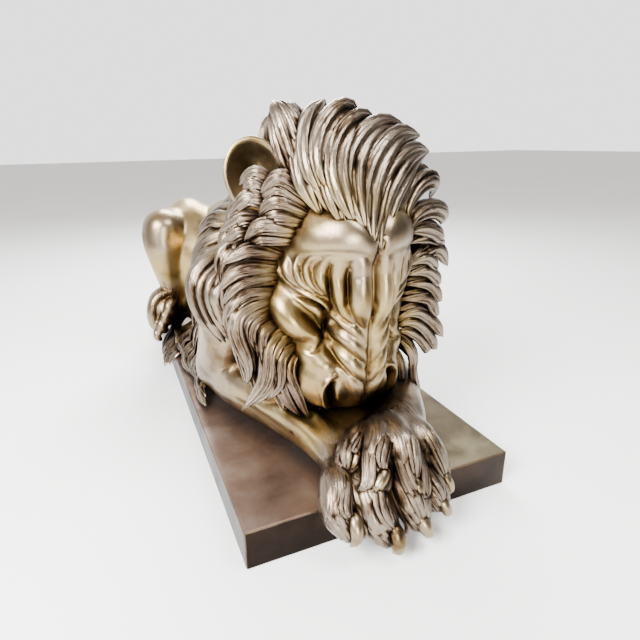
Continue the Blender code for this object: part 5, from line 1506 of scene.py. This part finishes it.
def plinth_bronze():
    material = bpy.data.materials.new("brown cast bronze")
    material.use_nodes = True
    tree = material.node_tree
    shader = tree.nodes["Principled BSDF"]
    place = node(tree, "ShaderNodeTexCoord").outputs["Object"]
    cloud = node(tree, "ShaderNodeTexNoise", {"Vector": place, "Scale": per_metre(PLINTH_CLOUD),
                                              "Detail": 5.0, "Roughness": 0.5, "Distortion": 0.3})
    grain = node(tree, "ShaderNodeTexNoise", {"Vector": place, "Scale": per_metre(CASTING_GRAIN),
                                              "Detail": 3.0})
    parts = node(tree, "ShaderNodeSeparateXYZ", {0: place})

    middle = (plinth_low + plinth_high) / 2
    reach = (plinth_high - plinth_low) / 2
    depths = []
    for k, key in enumerate("XYZ"):
        off = node(tree, "ShaderNodeMath", {0: parts.outputs[key], 1: middle[k]}, operation="SUBTRACT")
        off = node(tree, "ShaderNodeMath", {0: off}, operation="ABSOLUTE")
        depths.append(node(tree, "ShaderNodeMath", {0: reach[k], 1: off}, operation="SUBTRACT"))
    sums = [node(tree, "ShaderNodeMath", {0: depths[a], 1: depths[b]}) for a, b in ((0, 1), (1, 2), (0, 2))]
    nearest = node(tree, "ShaderNodeMath", {0: sums[0], 1: sums[1]}, operation="MINIMUM")
    nearest = node(tree, "ShaderNodeMath", {0: nearest, 1: sums[2]}, operation="MINIMUM")
    ragged = node(tree, "ShaderNodeMath", {0: cloud.outputs[0], 1: WORN_WIDTH * 2}, operation="MULTIPLY")
    worn = node(tree, "ShaderNodeMapRange", {"Value": nearest, "From Min": ragged, "From Max": 0.0})

    # the top's patina is pink-brown; it is painted paler and pinker towards the left, a painted reflection of
    # the bright room, and darker olive towards the right
    reflection_pink = ramp(tree, cloud.outputs[0], [(0.3, "#665247"), (0.5, "#957f74"), (0.7, "#bdaca3")])
    olive = ramp(tree, cloud.outputs[0], [(0.3, "#2f281e"), (0.5, "#504633"), (0.7, "#766d55")])
    across = node(tree, "ShaderNodeMapRange", {"Value": parts.outputs["X"], "From Min": REFLECTION_ENDS,
                                               "From Max": OLIVE_BEGINS})
    top = node(tree, "ShaderNodeMix", data_type="RGBA")
    tree.links.new(across.outputs[0], top.inputs[0])
    tree.links.new(reflection_pink.outputs[0], top.inputs[6])
    tree.links.new(olive.outputs[0], top.inputs[7])
    side = ramp(tree, cloud.outputs[0], [(0.3, "#110b08"), (0.5, "#1b130e"), (0.7, "#2a1f18")])
    # the sides are painted far darker than the top: painted shade on the faces turned from the light
    level = node(tree, "ShaderNodeMath", {0: depths[2], 1: TOP_DEPTH}, operation="LESS_THAN")
    patina_and_painted_light = node(tree, "ShaderNodeMix", data_type="RGBA")
    tree.links.new(level.outputs[0], patina_and_painted_light.inputs[0])
    tree.links.new(side.outputs[0], patina_and_painted_light.inputs[6])
    tree.links.new(top.outputs[2], patina_and_painted_light.inputs[7])
    wear_and_painted_shade = node(tree, "ShaderNodeMix", data_type="RGBA")
    tree.links.new(worn.outputs[0], wear_and_painted_shade.inputs[0])
    tree.links.new(patina_and_painted_light.outputs[2], wear_and_painted_shade.inputs[6])
    wear_and_painted_shade.inputs[7].default_value = linear("#947d63")
    tree.links.new(wear_and_painted_shade.outputs[2], shader.inputs["Base Color"])

    rough = node(tree, "ShaderNodeMapRange", {"Value": cloud.outputs[0], "From Min": 0.3, "From Max": 0.7,
                                              "To Min": 0.42, "To Max": 0.3})
    speckle = node(tree, "ShaderNodeMath", {0: grain.outputs[0], 1: 0.1}, operation="MULTIPLY")
    rough = node(tree, "ShaderNodeMath", {0: rough, 1: speckle})
    tree.links.new(rough.outputs[0], shader.inputs["Roughness"])
    shader.inputs["Metallic"].default_value = 1.0
    cast = node(tree, "ShaderNodeBump", {"Height": grain.outputs[0], "Strength": 0.3,
                                         "Distance": GRAIN_DEPTH})
    tree.links.new(cast.outputs[0], shader.inputs["Normal"])
    return material


plinth.data.materials.clear()
plinth.data.materials.append(plinth_bronze())
print("plinth bronze on", plinth.name)

# %% [markdown]
# ## The floor
# A sheet of matt white paper, pale all over, so that the bronze has something light to stand on.

# %% The floor
FLOOR_REACH = 30
PAPER_CLOUD = 900

floor_mesh = bpy.data.meshes.new("floor")
corners = [(-1, -1), (1, -1), (1, 1), (-1, 1)]
floor_mesh.from_pydata([(x * FLOOR_REACH, y * FLOOR_REACH, 0) for x, y in corners], [], [(0, 1, 2, 3)])
floor = bpy.data.objects.new("floor", floor_mesh)
bpy.context.scene.collection.objects.link(floor)
paper = bpy.data.materials.new("white paper floor")
paper.use_nodes = True
paper_shader = paper.node_tree.nodes["Principled BSDF"]
paper_place = node(paper.node_tree, "ShaderNodeTexCoord").outputs["Object"]
paper_cloud = node(paper.node_tree, "ShaderNodeTexNoise",
                   {"Vector": paper_place, "Scale": per_metre(PAPER_CLOUD)})
paper_tone = ramp(paper.node_tree, paper_cloud.outputs[0], [(0.3, "#f4f4f2"), (0.7, "#f8f8f7")])
paper.node_tree.links.new(paper_tone.outputs[0], paper_shader.inputs["Base Color"])
paper_shader.inputs["Roughness"].default_value = 0.85
floor_mesh.materials.append(paper)
print("floor", 2 * FLOOR_REACH, "metres across")

# %% [markdown]
# ## Studio
# Bronze shows what it reflects.  The room is bright above, behind and on the figure's right, and
# darker on the camera's side, so that the metal has something dark to reflect as well.  Four soft
# boxes add the wide highlights: a large window on the right, a fill in front, one above, one behind.

# %% Light
ROOM_STRENGTH = 3.9
LIGHTS_AIM = (0, 0, 0.5)

world = bpy.data.worlds.new("studio")
bpy.context.scene.world = world
world.use_nodes = True
sky = world.node_tree
way = node(sky, "ShaderNodeSeparateXYZ", {0: node(sky, "ShaderNodeTexCoord").outputs["Generated"]})
above = node(sky, "ShaderNodeMapRange", {"Value": way.outputs["Z"], "From Min": 0.1, "From Max": 0.9,
                                        "To Max": 0.55})
behind = node(sky, "ShaderNodeMapRange", {"Value": way.outputs["Y"], "From Min": 0.0, "From Max": 0.5,
                                          "To Max": 0.76})
beside = node(sky, "ShaderNodeMapRange", {"Value": way.outputs["X"], "From Min": -0.2, "From Max": -0.9,
                                          "To Max": 0.5})
bright = node(sky, "ShaderNodeMath", {0: above, 1: behind}, operation="MAXIMUM")
bright = node(sky, "ShaderNodeMath", {0: bright, 1: beside}, operation="MAXIMUM")
shade = node(sky, "ShaderNodeMapRange", {"Value": way.outputs["X"], "From Min": 0.84, "From Max": 1.0,
                                         "To Min": 1.0, "To Max": 0.3})
bright = node(sky, "ShaderNodeMath", {0: bright, 1: shade}, operation="MULTIPLY")
room = ramp(sky, bright, [(0.0, "#302d2b"), (0.5, "#6b6764"), (1.0, "#ffffff")])
sky.links.new(room.outputs[0], sky.nodes["Background"].inputs["Color"])
sky.nodes["Background"].inputs["Strength"].default_value = ROOM_STRENGTH


def softbox(name, place, size, power):
    """Square light of this size in metres and power in watts, turned to the statue's middle."""
    light = bpy.data.lights.new(name, "AREA")
    light.size = size
    light.energy = power
    holder = bpy.data.objects.new(name, light)
    holder.location = place
    holder.rotation_euler = (Vector(LIGHTS_AIM) - Vector(place)).to_track_quat("-Z", "Y").to_euler()
    bpy.context.scene.collection.objects.link(holder)


softbox("window light", (-2.6, -1.9, 2.5), 1.7, 545)
softbox("fill light", (-0.7, -3.3, 0.9), 1.0, 95)
softbox("top light", (0.9, -1.8, 3.2), 1.1, 110)
softbox("back light", (0.8, 2.6, 3.0), 1.8, 330)
print("lights", [light.name for light in bpy.data.lights])
